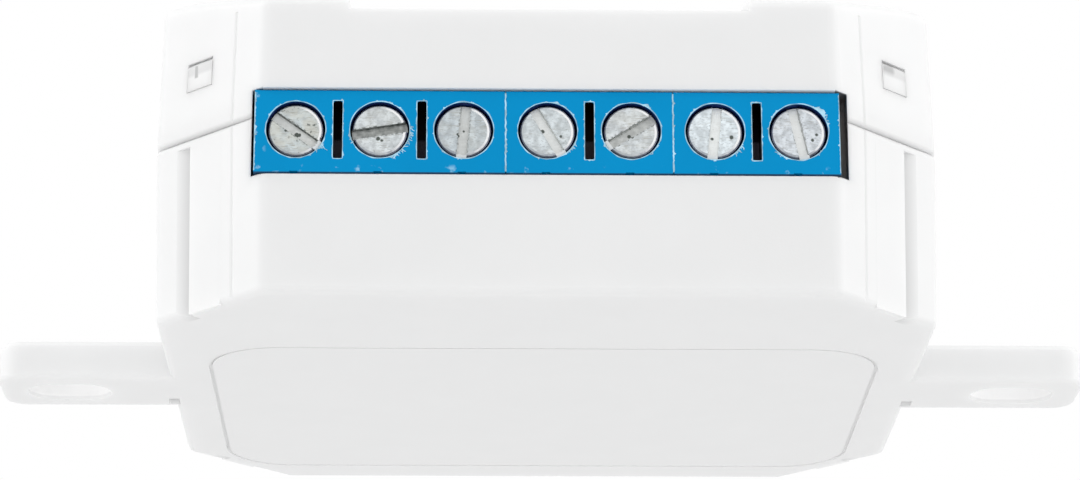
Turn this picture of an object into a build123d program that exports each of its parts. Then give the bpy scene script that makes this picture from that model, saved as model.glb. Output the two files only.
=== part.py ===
from build123d import *
from math import radians, sqrt, tan
import os

# In-wall relay switch module: an eight-sided two-part case with a seven-pole screw
# terminal strip in its front face and two slotted mounting ears on its sides.
# Millimetres, +Z up, terminals towards -Y. The origin is the centre of the underside.

os.makedirs("parts", exist_ok=True)

# Driving dimensions: the case. A cut runs on by clear, a feature starts root deep in its
# own piece, and seat is the play between a part and what it stands on.
body_width = 48.6
body_depth = 43.6
body_height = 20.9
corner_cut = 6.8
corner_round = 1.2
draft = 1.5
wall = 1.5
floor_z = 1.6
parting_z = 11.3
seam_gap = 0.01
seam_round = 0.3
lip_height = 1.0
lip_inset = 0.62
rebate_inset = 0.5
step_round = 0.8
inside_round = 0.6
clear = 1.0
root = 0.5
seat = 0.05
bottom_round = 0.5
top_round = 0.8
ridge_round = 8.0

# Driving dimensions: the sloping front of the roof and the shallow step in its middle
roof_slope_end_y = -15.6
roof_front_z = 18.95
roof_step_half_width = 12.25
roof_step_depth = 0.75
roof_step_end_y = -11.0
roof_inside_z = 19.2
front_inside_z = 17.7

# Driving dimensions: the ears
ear_span = 70.3
ear_width = 6.4
ear_thickness = 2.55
ear_corner = 1.5
ear_hole_spacing = 61.4
ear_slot_length = 5.4
ear_slot_width = 3.6
ear_top_bevel = 0.35
ear_bottom_round = 0.3

# Driving dimensions: the places on the underside and the rear wall
label_width = 42.6
label_length = 28.7
label_round = 4.5
label_centre_y = 4.05
label_recess = 0.12
label_gap = 0.22
label_thickness = 0.1
rear_step_width = 27.5
rear_step_depth = 0.55
ear_notch = (0.7, 1.3, 0.35)
ear_notch_spacing = 48.1
ear_notch_y = 2.1
post_radius = 1.9
post_pin_radius = 0.9
post_pin_rise = 0.6
post_hole_radius = 1.0

# Driving dimensions: the terminal strip
pitch = 5.08
poles = 7
strip_centre_x = -0.125
strip_face_y = -21.55
screw_z = 10.4
window_low_z = 7.5
window_high_z = 13.04
window_left_x = -18.05
window_right_x = 18.15
window_cut_depth = 3.0
strip_room_y = -20.1
strip_room_depth = 3.0
strip_room_gap = 0.15
screw_head_radius = 1.7
screw_head_recess = 0.22
screw_slot_width = 0.62
screw_slot_depth = 0.3
screw_bore_radius = 1.8
screw_shank_radius = 1.5
slot_angles = [-36, 9, 85, -60, 32, 84, -78]

# Driving dimensions: the boards
board_low_z = 5.4
board_thickness = 1.6
board_top_z = board_low_z + board_thickness
pin_low_z = 4.2
radio_low_z = 13.0
radio_thickness = 1.0
radio_top_z = radio_low_z + radio_thickness
button_place = (14.0, 11.5)
led_place = (8.6, 9.4)

# Where the repeated pieces stand
pole_x = [strip_centre_x + (n - (poles - 1) / 2) * pitch for n in range(poles)]
blocks = {"left": pole_x[0:3], "middle": pole_x[3:5], "right": pole_x[5:7]}
lower_rim_z = parting_z - seam_gap / 2
cover_rim_z = parting_z + seam_gap / 2
corners = [(1, -1), (-1, -1), (1, 1), (-1, 1)]
post_places = [(-20.3, -9.9), (20.3, -9.9), (-12.6, 16.4), (12.6, 16.4)]


# The case outline, drawn the given distance inside the outer face at the parting line
def outline(inset, radius):
    with BuildSketch() as shape:
        Rectangle(body_width - 2 * inset, body_depth - 2 * inset)
        chamfer(shape.vertices(), corner_cut - inset * (2 - sqrt(2)))
        fillet(shape.vertices(), radius)
    return shape.sketch


outer_outline = outline(0, corner_round)
lip_outline = outline(lip_inset, step_round)
rebate_outline = outline(rebate_inset, step_round)
inner_outline = outline(wall, inside_round)


# The flat corner face, with local x level, local y up and local z pointing outwards.
# The lower shell's face leans by -1 draft, the cover's by 1, and 0 gives an upright plane.
def corner_plane(side_x, side_y, lean):
    rim_z = cover_rim_z if lean > 0 else lower_rim_z
    shift = lean * rim_z * tan(radians(draft)) / sqrt(2)
    middle_x = side_x * ((body_width - corner_cut) / 2 + shift)
    middle_y = side_y * ((body_depth - corner_cut) / 2 + shift)
    return Plane(
        origin=(middle_x, middle_y, 0),
        x_dir=(-side_y, side_x, 0),
        z_dir=(side_x, side_y, lean * sqrt(2) * tan(radians(draft))),
    )


# A distance along the corner face, positive towards the ear's side
def along(side_x, side_y, distance):
    return -side_x * side_y * distance


# The plane across a corner face at a level, facing down, with local y pointing outwards
def across(face, level):
    return Plane(origin=face.origin + face.y_dir * level, x_dir=face.x_dir, z_dir=-face.y_dir)


# Corner details: a fine line, a flat that keeps a sharp lower edge, a wedge-shaped groove
# and the latch above them
line_at = -2.2
line_width = 0.3
line_depth = 0.07
line_top_z = 18.7
panel_start = -1.2
panel_proud = 0.005
panel_low_z = 0.05
rim_band = 0.5
groove_start = 1.62
groove_end = 2.82
groove_depth = 0.42
latch_at = 1.0
latch_window = (2.34, 1.92)
latch_window_z = 15.39
hook_low_z = 14.48
hook_high_z = 16.3
hook_bevel = 0.25
hook_recess = 0.08
tongue_width = 2.24
tongue_depth = 1.0
tongue_gap = 0.15
overlap = 0.2


# The fine line's section: a shallow notch, open outwards
with BuildSketch() as notch:
    with BuildLine():
        Polyline(
            (-line_width / 2, clear),
            (-line_width / 2, 0),
            (0, -line_depth),
            (line_width / 2, 0),
            (line_width / 2, clear),
            close=True,
        )
    make_face()
fine_line = notch.sketch


# Both ears as one bar through the shell's floor, bevelled above and rounded below
with BuildPart() as ears:
    with BuildSketch():
        RectangleRounded(ear_span, ear_width, ear_corner)
    extrude(amount=ear_thickness)
    chamfer(ears.faces().sort_by(Axis.Z)[-1].edges(), ear_top_bevel)
    fillet(ears.faces().sort_by(Axis.Z)[0].edges(), ear_bottom_round)


# Lower shell: floor, walls, ears, sealing lip, snap tongues, board posts
with BuildPart() as lower_shell:
    with BuildSketch(Plane.XY.offset(lower_rim_z)):
        add(outer_outline)
    extrude(amount=-lower_rim_z, taper=draft)
    fillet(lower_shell.faces().sort_by(Axis.Z)[0].edges(), bottom_round)
    fillet(lower_shell.faces().sort_by(Axis.Z)[-1].edges(), seam_round)
    add(ears.part)
    # hollow inside
    with BuildSketch(Plane.XY.offset(floor_z)):
        add(inner_outline)
    extrude(amount=body_height, mode=Mode.SUBTRACT)
    # lip that stands inside the cover
    with BuildSketch(Plane.XY.offset(lower_rim_z - root)):
        add(lip_outline)
        add(inner_outline, mode=Mode.SUBTRACT)
    extrude(amount=lip_height + root)
    # terminal window, open at the top
    with BuildSketch(Plane.XZ.offset(body_depth / 2 + clear)):
        with Locations(((window_left_x + window_right_x) / 2, (window_low_z + body_height) / 2)):
            Rectangle(window_right_x - window_left_x, body_height - window_low_z)
    extrude(amount=-window_cut_depth, mode=Mode.SUBTRACT)
    # room for the terminal strip's ends inside the corner walls
    with BuildSketch(Plane.XY.offset(board_top_z)):
        with Locations((strip_centre_x, strip_room_y)):
            Rectangle(
                poles * pitch + 2 * strip_room_gap, strip_room_depth, align=(Align.CENTER, Align.MIN)
            )
    extrude(amount=body_height, mode=Mode.SUBTRACT)
    # slotted holes in the ears, along X
    with BuildSketch(Plane.XY.offset(-clear)):
        with GridLocations(ear_hole_spacing, 0, 2, 1):
            SlotOverall(ear_slot_length, ear_slot_width)
    extrude(amount=ear_thickness + 2 * clear, mode=Mode.SUBTRACT)
    # relief pockets where the ears meet the walls
    with BuildSketch(Plane.XY.offset(-clear)):
        with GridLocations(ear_notch_spacing, 0, 2, 1):
            with Locations((0, ear_notch_y)):
                Rectangle(ear_notch[0], ear_notch[1])
    extrude(amount=clear + ear_notch[2], mode=Mode.SUBTRACT)
    # shallow place for a label on the underside
    with BuildSketch():
        with Locations((0, label_centre_y)):
            RectangleRounded(label_width, label_length, label_round)
    extrude(amount=label_recess, mode=Mode.SUBTRACT)
    # flat step in the rear wall
    with Locations((0, body_depth / 2, lower_rim_z / 2)):
        Box(rear_step_width, 2 * rear_step_depth, lower_rim_z, mode=Mode.SUBTRACT)
    # posts that carry the main board, with locating pins
    with BuildSketch(Plane.XY.offset(floor_z - root)):
        with Locations(*post_places):
            Circle(post_radius)
    extrude(amount=board_low_z - floor_z + root)
    with BuildSketch(Plane.XY.offset(board_low_z)):
        with Locations(*post_places):
            Circle(post_pin_radius)
    extrude(amount=board_thickness + post_pin_rise)
    for side_x, side_y in corners:
        face = corner_plane(side_x, side_y, -1)
        band_z = lower_rim_z - rim_band
        panel_middle = along(side_x, side_y, (panel_start + groove_start) / 2)
        with BuildSketch(face.offset(-wall / 2)):
            with Locations((panel_middle, (panel_low_z + band_z) / 2)):
                Rectangle(groove_start - panel_start, band_z - panel_low_z)
        extrude(amount=wall / 2 + panel_proud)
        # the groove steps down beside the flat and rises to the surface away from it
        with BuildSketch(across(face, band_z)):
            with BuildLine():
                Polyline(
                    (along(side_x, side_y, groove_start), -groove_depth),
                    (along(side_x, side_y, groove_start), clear),
                    (along(side_x, side_y, groove_end), clear),
                    (along(side_x, side_y, groove_end), 0),
                    close=True,
                )
            make_face()
        extrude(amount=2 * body_height, mode=Mode.SUBTRACT)
        with BuildSketch(across(face, body_height)):
            add(fine_line.moved(Location((along(side_x, side_y, line_at), 0))))
        extrude(amount=2 * body_height, mode=Mode.SUBTRACT)
        # tongue on a rib inside the wall, with a hook whose upper edge is bevelled
        upright = corner_plane(side_x, side_y, 0)
        tongue_face = -(wall + tongue_gap)
        with BuildSketch(upright.offset(tongue_face)):
            with Locations((along(side_x, side_y, latch_at), (floor_z + hook_high_z) / 2)):
                Rectangle(tongue_width, hook_high_z - floor_z)
        extrude(amount=-tongue_depth)
        with BuildSketch(upright.offset(tongue_face - overlap)):
            with Locations((along(side_x, side_y, latch_at), (floor_z + lower_rim_z) / 2)):
                Rectangle(tongue_width, lower_rim_z - floor_z)
        extrude(amount=tongue_gap + 2 * overlap)
        with BuildSketch(upright.offset(tongue_face - overlap)):
            with Locations((along(side_x, side_y, latch_at), (hook_low_z + hook_high_z) / 2)):
                Rectangle(tongue_width, hook_high_z - hook_low_z)
        extrude(amount=-tongue_face + overlap - hook_recess)
        outwards = Axis((0, 0, 0), (side_x, side_y, 0))
        hook_face = lower_shell.faces(Select.LAST).filter_by(outwards).sort_by(outwards)[-1]
        chamfer(hook_face.edges().sort_by(Axis.Z)[-1], hook_bevel)
lower_shell.part.label = "lower_shell"
export_step(lower_shell.part, "parts/lower_shell.step")


# Blank label: a thin plate in the recess of the underside, with an even gap round it
with BuildPart() as blank_label:
    with BuildSketch(Plane.XY.offset(label_recess)):
        with Locations((0, label_centre_y)):
            RectangleRounded(
                label_width - 2 * label_gap, label_length - 2 * label_gap, label_round - label_gap
            )
    extrude(amount=-label_thickness)
blank_label.part.label = "blank_label"
export_step(blank_label.part, "parts/blank_label.step")


# Whether an edge lies across the roof, between its flat, its bend and its slope
def is_inner_roof_edge(edge):
    runs_across = abs(edge.tangent_at(0.5).X) > 0.99
    return runs_across and -body_depth / 2 + clear < edge.center().Y < 0


# Upper cover: roof with a sloping front, wire entries, button and light-pipe holes
wire_entry_at = 7.75
wire_entry_y = strip_face_y + wire_entry_at
wire_entry_radius = 1.8
collar_wall = 0.7
button_hole_radius = 2.6
pipe_hole_radius = 1.05
rib_size = (1.0, 1.2)
rib_spacing = (43.8, 24.0)
rib_gap = 0.1
with BuildPart() as upper_cover:
    with BuildSketch(Plane.XY.offset(cover_rim_z)):
        add(outer_outline)
    extrude(amount=body_height - cover_rim_z, taper=draft)
    fillet(upper_cover.faces().sort_by(Axis.Z)[0].edges(), seam_round)
    # sloping front of the roof
    front_y = -body_depth / 2
    slope = (body_height - roof_front_z) / (roof_slope_end_y - front_y)
    with BuildSketch(Plane.YZ):
        with BuildLine():
            Polyline(
                (roof_slope_end_y, body_height),
                (front_y - clear, roof_front_z - slope * clear),
                (front_y - clear, body_height + clear),
                (roof_slope_end_y, body_height + clear),
                close=True,
            )
        make_face()
    extrude(amount=body_width, both=True, mode=Mode.SUBTRACT)
    ridge = upper_cover.edges().filter_by(Axis.X).sort_by(Axis.Z)[-2:].sort_by(Axis.Y)[0]
    fillet(ridge, ridge_round)
    roof = upper_cover.faces().filter_by(lambda face: face.normal_at().Z > 0.9)
    rims = roof.edges().filter_by(lambda edge: not is_inner_roof_edge(edge))
    fillet(rims, top_round)
    # hollow inside, lower under the sloping front
    with BuildSketch(Plane.XY.offset(cover_rim_z)):
        add(inner_outline)
    extrude(amount=front_inside_z - cover_rim_z, mode=Mode.SUBTRACT)
    with BuildSketch(Plane.XY.offset(cover_rim_z)):
        add(inner_outline)
        with Locations((0, roof_slope_end_y)):
            Rectangle(body_width, body_depth, align=(Align.CENTER, Align.MAX), mode=Mode.SUBTRACT)
    extrude(amount=roof_inside_z - cover_rim_z, mode=Mode.SUBTRACT)
    with BuildSketch(Plane.XY.offset(cover_rim_z)):
        add(rebate_outline)
    extrude(amount=lip_height + seam_gap, mode=Mode.SUBTRACT)
    # terminal window, open at the bottom
    with BuildSketch(Plane.XZ.offset(body_depth / 2 + clear)):
        with Locations(((window_left_x + window_right_x) / 2, window_high_z / 2)):
            Rectangle(window_right_x - window_left_x, window_high_z)
    extrude(amount=-window_cut_depth, mode=Mode.SUBTRACT)
    # room for the terminal strip's ends inside the corner walls
    with BuildSketch(Plane.XY.offset(cover_rim_z)):
        with Locations((strip_centre_x, strip_room_y)):
            Rectangle(
                poles * pitch + 2 * strip_room_gap, strip_room_depth, align=(Align.CENTER, Align.MIN)
            )
    extrude(amount=front_inside_z - cover_rim_z, mode=Mode.SUBTRACT)
    # collars under the roof that lead the wires into the terminals
    with BuildSketch(Plane.XY.offset(front_inside_z - root)):
        with Locations(*[(x, wire_entry_y) for x in pole_x]):
            Circle(wire_entry_radius + collar_wall)
    extrude(amount=roof_inside_z - front_inside_z + 2 * root)
    # shallow step in the middle of the roof's front
    with BuildSketch(Plane.YZ):
        with BuildLine():
            Polyline(
                (roof_step_end_y, body_height - roof_step_depth),
                (roof_slope_end_y, body_height - roof_step_depth),
                (front_y - clear, roof_front_z - slope * clear - roof_step_depth),
                (front_y - clear, body_height + clear),
                (roof_step_end_y, body_height + clear),
                close=True,
            )
        make_face()
    extrude(amount=roof_step_half_width, both=True, mode=Mode.SUBTRACT)
    # wire entries, the button's hole and the light pipe's hole
    with BuildSketch(Plane.XY.offset(cover_rim_z)):
        with Locations(*[(x, wire_entry_y) for x in pole_x]):
            Circle(wire_entry_radius)
        with Locations(button_place):
            Circle(button_hole_radius)
        with Locations(led_place):
            Circle(pipe_hole_radius)
    extrude(amount=body_height, mode=Mode.SUBTRACT)
    # ribs that press the main board down at the side walls
    with BuildSketch(Plane.XY.offset(board_top_z + rib_gap)):
        with GridLocations(*rib_spacing, 2, 2):
            Rectangle(*rib_size)
    extrude(amount=roof_inside_z + root - board_top_z - rib_gap)
    for side_x, side_y in corners:
        upright = corner_plane(side_x, side_y, 0)
        with BuildSketch(upright.offset(-wall - root)):
            with Locations((along(side_x, side_y, latch_at), latch_window_z)):
                Rectangle(*latch_window)
        extrude(amount=wall + 2 * clear, mode=Mode.SUBTRACT)
        with BuildSketch(across(corner_plane(side_x, side_y, 1), line_top_z)):
            add(fine_line.moved(Location((along(side_x, side_y, line_at), 0))))
        extrude(amount=body_height, mode=Mode.SUBTRACT)
upper_cover.part.label = "upper_cover"
export_step(upper_cover.part, "parts/upper_cover.step")


# Terminal block sizes, measured back from the strip's front face
nose_depth = 1.65
block_depth = 10.6
block_low_z = board_top_z + seat
block_gap = 0.06
block_edge = 0.07
block_high_z = 16.8
nose_low_z = 7.61
nose_high_z = 12.95
bore_depth = 2.2
chamber_end = 9.95
chamber_low_z = 8.35
chamber_high_z = 12.55
chamber_width = 4.5
contact_at = 5.75
contact_thickness = 0.6
contact_width = 3.0
slot_between_poles = (0.56, 3.7)
slot_between_round = 0.15
slot_between_depth = 1.9
wire_hole_radius = 1.6
wire_mouth = 0.35
vent_size = (0.5, 0.26)
vent_depth = 0.8
vent_shift = -0.1
contact_play = 0.1
contact_pin_width = 0.9
contact_head_gap = 0.2


# Terminal block: screw bores in front, clamp chambers, wire holes on top
def terminal_block(side, centres):
    middle_x = sum(centres) / len(centres)
    width = len(centres) * pitch - block_gap
    bar_y = strip_face_y + contact_at + contact_thickness / 2
    with BuildPart() as block:
        with BuildSketch(Plane.YZ.offset(middle_x)):
            with BuildLine():
                Polyline(
                    (strip_face_y, nose_low_z),
                    (strip_face_y, nose_high_z),
                    (strip_face_y + nose_depth, nose_high_z),
                    (strip_face_y + nose_depth, block_high_z),
                    (strip_face_y + block_depth, block_high_z),
                    (strip_face_y + block_depth, block_low_z),
                    (strip_face_y + nose_depth, block_low_z),
                    (strip_face_y + nose_depth, nose_low_z),
                    close=True,
                )
            make_face()
        extrude(amount=width / 2, both=True)
        front = block.faces().sort_by(Axis.Y)[0]
        chamfer(front.edges().filter_by(Axis.X), block_edge)
        face = Plane.XZ.offset(-strip_face_y)
        # screw bores and the slots between poles
        with BuildSketch(face):
            with Locations(*[(x, screw_z) for x in centres]):
                Circle(screw_bore_radius)
        extrude(amount=-(bore_depth + root), mode=Mode.SUBTRACT)
        with BuildSketch(face):
            with Locations(*[(x + pitch / 2, screw_z) for x in centres[:-1]]):
                RectangleRounded(*slot_between_poles, slot_between_round)
        extrude(amount=-slot_between_depth, mode=Mode.SUBTRACT)
        # chambers in which the clamps slide
        with BuildSketch(face.offset(-bore_depth)):
            with Locations(*[(x, (chamber_low_z + chamber_high_z) / 2) for x in centres]):
                Rectangle(chamber_width, chamber_high_z - chamber_low_z)
        extrude(amount=-(chamber_end - bore_depth), mode=Mode.SUBTRACT)
        # wire holes from above, with funnel mouths
        with BuildSketch(Plane.XY.offset(chamber_high_z - root)):
            with Locations(*[(x, wire_entry_y) for x in centres]):
                Circle(wire_hole_radius)
        extrude(amount=block_high_z - chamber_high_z + 2 * root, mode=Mode.SUBTRACT)
        mouths = block.faces().filter_by(Axis.Z).sort_by(Axis.Z)[-1].edges().filter_by(GeomType.CIRCLE)
        chamfer(mouths, wire_mouth)
        # openings for the contact bars and small vents under the bores
        with BuildSketch(Plane.XY.offset(block_low_z - clear)):
            with Locations(*[(x, bar_y) for x in centres]):
                Rectangle(contact_width + 2 * contact_play, contact_thickness + 2 * contact_play)
        extrude(amount=chamber_low_z - block_low_z + 2 * clear, mode=Mode.SUBTRACT)
        with BuildSketch(face):
            with Locations(*[(x + vent_shift, nose_low_z) for x in centres]):
                Rectangle(*vent_size)
        extrude(amount=-vent_depth, mode=Mode.SUBTRACT)
    block.part.label = f"terminal_block_{side}"
    export_step(block.part, f"parts/terminal_block_{side}.step")

    # contact bars: an upright plate in each chamber on a pin through the board
    with BuildPart() as contacts:
        with BuildSketch(Plane.XY.offset(block_low_z)):
            with Locations(*[(x, bar_y) for x in centres]):
                Rectangle(contact_width, contact_thickness)
        extrude(amount=chamber_high_z - contact_head_gap - block_low_z)
        with BuildSketch(Plane.XY.offset(pin_low_z)):
            with Locations(*[(x, bar_y) for x in centres]):
                Rectangle(contact_pin_width, contact_thickness)
        extrude(amount=block_low_z + seat - pin_low_z)
    contacts.part.label = f"terminal_contacts_{side}"
    export_step(contacts.part, f"parts/terminal_contacts_{side}.step")


for side, centres in blocks.items():
    terminal_block(side, centres)


# Terminal screw and clamp cage sizes, measured back from the strip's front face
screw_head_height = 1.6
screw_head_edge = 0.14
screw_slot_length = 4.0
screw_point = 0.3
screw_end = contact_at - 0.1
cage_front_wall = 0.9
cage_side_wall = 0.4
cage_rear_wall = 0.65
cage_front = screw_end - cage_front_wall
cage_rear = 9.8
cage_round = 0.3
cage_side_gap = 0.1
cage_height_gap = 0.2
thread_gap = 0.05


# Terminal screw: slotted round head just inside its bore, plain-sided thread
def terminal_screw(number, x, slot_angle):
    head = Plane.XZ.offset(-(strip_face_y + screw_head_recess))
    with BuildPart() as screw:
        with BuildSketch(head):
            with Locations((x, screw_z)):
                Circle(screw_head_radius)
        extrude(amount=-screw_head_height)
        chamfer(screw.faces().sort_by(Axis.Y)[0].edges(), screw_head_edge)
        with BuildSketch(head.offset(-screw_head_height)):
            with Locations((x, screw_z)):
                Circle(screw_shank_radius)
        extrude(amount=-(screw_end - screw_head_recess - screw_head_height))
        chamfer(screw.faces().sort_by(Axis.Y)[-1].edges(), screw_point)
        with BuildSketch(head):
            with Locations(Location((x, screw_z), slot_angle)):
                Rectangle(screw_slot_length, screw_slot_width)
        extrude(amount=-screw_slot_depth, mode=Mode.SUBTRACT)
    screw.part.label = f"terminal_screw_{number}"
    export_step(screw.part, f"parts/terminal_screw_{number}.step")


# Clamp cage: an upright steel ring that the screw draws towards its head
def clamp_cage(number, x):
    half_width = chamber_width / 2 - cage_side_gap
    length = cage_rear - cage_front
    height = chamber_high_z - chamber_low_z - 2 * cage_height_gap
    low = Plane.XY.offset(chamber_low_z + cage_height_gap)
    middle_y = strip_face_y + (cage_front + cage_rear) / 2
    with BuildPart() as cage:
        with BuildSketch(low):
            with Locations((x, middle_y)):
                Rectangle(2 * half_width, length)
        extrude(amount=height)
        fillet(cage.edges().filter_by(Axis.Z), cage_round)
        with BuildSketch(low.offset(-clear)):
            with Locations((x, middle_y + (cage_front_wall - cage_rear_wall) / 2)):
                Rectangle(2 * (half_width - cage_side_wall), length - cage_front_wall - cage_rear_wall)
        extrude(amount=height + 2 * clear, mode=Mode.SUBTRACT)
        with BuildSketch(Plane.XZ.offset(-strip_face_y - cage_front + clear)):
            with Locations((x, screw_z)):
                Circle(screw_shank_radius + thread_gap)
        extrude(amount=-(cage_front_wall + clear + root), mode=Mode.SUBTRACT)
    cage.part.label = f"clamp_cage_{number}"
    export_step(cage.part, f"parts/clamp_cage_{number}.step")


for number, (x, slot_angle) in enumerate(zip(pole_x, slot_angles), start=1):
    terminal_screw(number, x, slot_angle)
    clamp_cage(number, x)


# Relay places and sizes: each stands on the board with its length along Y
relay_centres = {1: (-16.3, 1.2), 2: (-5.6, 1.2)}
relay_length = 20.0
relay_width = 10.0
relay_stand = 0.1
relay_height = 10.4
relay_low_z = board_top_z + relay_stand
relay_high_z = relay_low_z + relay_height
relay_wall = 0.6
relay_corner = 0.5
relay_edge = 0.3
relay_base_height = 1.3
relay_pin_size = (0.8, 0.5)
relay_pins = [(-3.6, -8.0), (3.6, -8.0), (0, 6.4), (-3.6, 8.6), (3.6, 8.6)]


# Relay case: a box with its open side down
def relay_case(number, centre):
    with BuildPart() as case:
        with BuildSketch(Plane.XY.offset(relay_low_z)):
            with Locations(centre):
                Rectangle(relay_width, relay_length)
        extrude(amount=relay_height)
        fillet(case.edges().filter_by(Axis.Z), relay_corner)
        fillet(case.faces().sort_by(Axis.Z)[-1].edges(), relay_edge)
        with BuildSketch(Plane.XY.offset(relay_low_z)):
            with Locations(centre):
                Rectangle(relay_width - 2 * relay_wall, relay_length - 2 * relay_wall)
        extrude(amount=relay_height - relay_wall, mode=Mode.SUBTRACT)
    case.part.label = f"relay_{number}_case"
    export_step(case.part, f"parts/relay_{number}_case.step")


# Relay base with its pins through the board
def relay_base(number, centre):
    inside = (relay_width - 2 * (relay_wall + seat), relay_length - 2 * (relay_wall + seat))
    with BuildPart() as base:
        with BuildSketch(Plane.XY.offset(relay_low_z)):
            with Locations(centre):
                Rectangle(*inside)
        extrude(amount=relay_base_height)
    base.part.label = f"relay_{number}_base"
    export_step(base.part, f"parts/relay_{number}_base.step")

    with BuildPart() as pins:
        with BuildSketch(Plane.XY.offset(pin_low_z)):
            with Locations(*[(centre[0] + x, centre[1] + y) for x, y in relay_pins]):
                Rectangle(*relay_pin_size)
        extrude(amount=relay_low_z - pin_low_z)
    pins.part.label = f"relay_{number}_pins"
    export_step(pins.part, f"parts/relay_{number}_pins.step")


# Sizes inside the relay
coil_z = relay_low_z + 5.1
coil_ends = (-8.4, 2.4)
coil_radius = 2.8
coil_bore = 1.15
flange_radius = 3.1
flange_thickness = 0.7
flange_gap = 0.1
core_radius = 1.1
yoke_thickness = 0.9
yoke_width = 7.0
yoke_overhang = 0.32
yoke_top_z = relay_high_z - relay_wall - 0.35
yoke_low_z = relay_low_z + 1.5


# Relay magnet: wound coil on a core, in an angled yoke
def relay_magnet(number, centre):
    centre_x, centre_y = centre
    rear_y = centre_y + coil_ends[0]
    front_y = centre_y + coil_ends[1]
    with BuildPart() as yoke:
        with BuildSketch(Plane.XZ.offset(-(rear_y - yoke_thickness))):
            with Locations((centre_x, (yoke_low_z + yoke_top_z) / 2)):
                Rectangle(yoke_width, yoke_top_z - yoke_low_z)
        extrude(amount=-yoke_thickness)
        with BuildSketch(Plane.XY.offset(yoke_top_z)):
            with Locations((centre_x, (rear_y + front_y + yoke_overhang) / 2)):
                Rectangle(yoke_width, front_y - rear_y + yoke_overhang)
        extrude(amount=-yoke_thickness)
        with BuildSketch(Plane.XZ.offset(-(rear_y - flange_gap))):
            with Locations((centre_x, coil_z)):
                Circle(core_radius)
        extrude(amount=-(front_y - rear_y + flange_gap))
    yoke.part.label = f"relay_{number}_yoke"
    export_step(yoke.part, f"parts/relay_{number}_yoke.step")

    with BuildPart() as coil:
        for flange_y in (rear_y + flange_gap, front_y - flange_gap - flange_thickness):
            with BuildSketch(Plane.XZ.offset(-flange_y)):
                with Locations((centre_x, coil_z)):
                    Circle(flange_radius)
                    Circle(coil_bore, mode=Mode.SUBTRACT)
            extrude(amount=-flange_thickness)
        with BuildSketch(Plane.XZ.offset(-(rear_y + flange_thickness))):
            with Locations((centre_x, coil_z)):
                Circle(coil_radius)
                Circle(coil_bore, mode=Mode.SUBTRACT)
        extrude(amount=-(front_y - rear_y - 2 * flange_thickness))
    coil.part.label = f"relay_{number}_coil"
    export_step(coil.part, f"parts/relay_{number}_coil.step")


# Sizes of the armature, its spring and the contacts
armature_gap = 0.35
armature_thickness = 0.8
armature_width = 6.4
armature_low_z = coil_z - 1.3
spring_low_z = relay_low_z + 1.9
spring_high_z = yoke_top_z - 1.2
spring_width = 3.0
spring_thickness = 0.2
contact_rise = 0.9
moving_contact_radius = 0.8
moving_contact_length = 0.9
moving_contact_back = 0.35
fixed_contact_radius = 0.7
fixed_contact_front = 0.2
fixed_contact_rear = 0.6
fixed_contact_lengths = (0.25, 0.5)
post_width = 2.4
post_rises = 2.45
post_thickness = (0.3, 0.6)
post_offsets = (0.17, 1.25)


# Relay armature and its contact spring, which tilt together towards the core
def relay_armature(number, centre):
    centre_x, centre_y = centre
    armature_y = centre_y + coil_ends[1] + armature_gap
    with BuildPart() as armature:
        with BuildSketch(Plane.XZ.offset(-armature_y)):
            with Locations((centre_x, (armature_low_z + yoke_top_z) / 2)):
                Rectangle(armature_width, yoke_top_z - armature_low_z)
        extrude(amount=-armature_thickness)
    armature.part.label = f"relay_{number}_armature"
    export_step(armature.part, f"parts/relay_{number}_armature.step")

    spring_y = armature_y + armature_thickness
    with BuildPart() as spring:
        with BuildSketch(Plane.XZ.offset(-spring_y)):
            with Locations((centre_x, (spring_low_z + spring_high_z) / 2)):
                Rectangle(spring_width, spring_high_z - spring_low_z)
        extrude(amount=-spring_thickness)
        with BuildSketch(Plane.XZ.offset(-(spring_y - moving_contact_back))):
            with Locations((centre_x, spring_low_z + contact_rise)):
                Circle(moving_contact_radius)
        extrude(amount=-moving_contact_length)
    spring.part.label = f"relay_{number}_contact_spring"
    export_step(spring.part, f"parts/relay_{number}_contact_spring.step")


# Relay fixed contacts: two posts on the base, either side of the moving contact
def relay_fixed_contacts(number, centre):
    centre_x, centre_y = centre
    coil_end_y = centre_y + coil_ends[1]
    spring_y = coil_end_y + armature_gap + armature_thickness
    with BuildPart() as fixed:
        with BuildSketch(Plane.XY.offset(relay_low_z + relay_base_height)):
            with Locations((centre_x, coil_end_y + post_offsets[0])):
                Rectangle(post_width, post_thickness[0])
            with Locations((centre_x, spring_y + post_offsets[1])):
                Rectangle(post_width, post_thickness[1])
        extrude(amount=post_rises)
        with BuildSketch(Plane.XZ.offset(-(coil_end_y + fixed_contact_front))):
            with Locations((centre_x, spring_low_z + contact_rise)):
                Circle(fixed_contact_radius)
        extrude(amount=-fixed_contact_lengths[0])
        with BuildSketch(Plane.XZ.offset(-(spring_y + fixed_contact_rear))):
            with Locations((centre_x, spring_low_z + contact_rise)):
                Circle(fixed_contact_radius)
        extrude(amount=-fixed_contact_lengths[1])
    fixed.part.label = f"relay_{number}_fixed_contacts"
    export_step(fixed.part, f"parts/relay_{number}_fixed_contacts.step")


for number, centre in relay_centres.items():
    relay_case(number, centre)
    relay_base(number, centre)
    relay_magnet(number, centre)
    relay_armature(number, centre)
    relay_fixed_contacts(number, centre)


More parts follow.
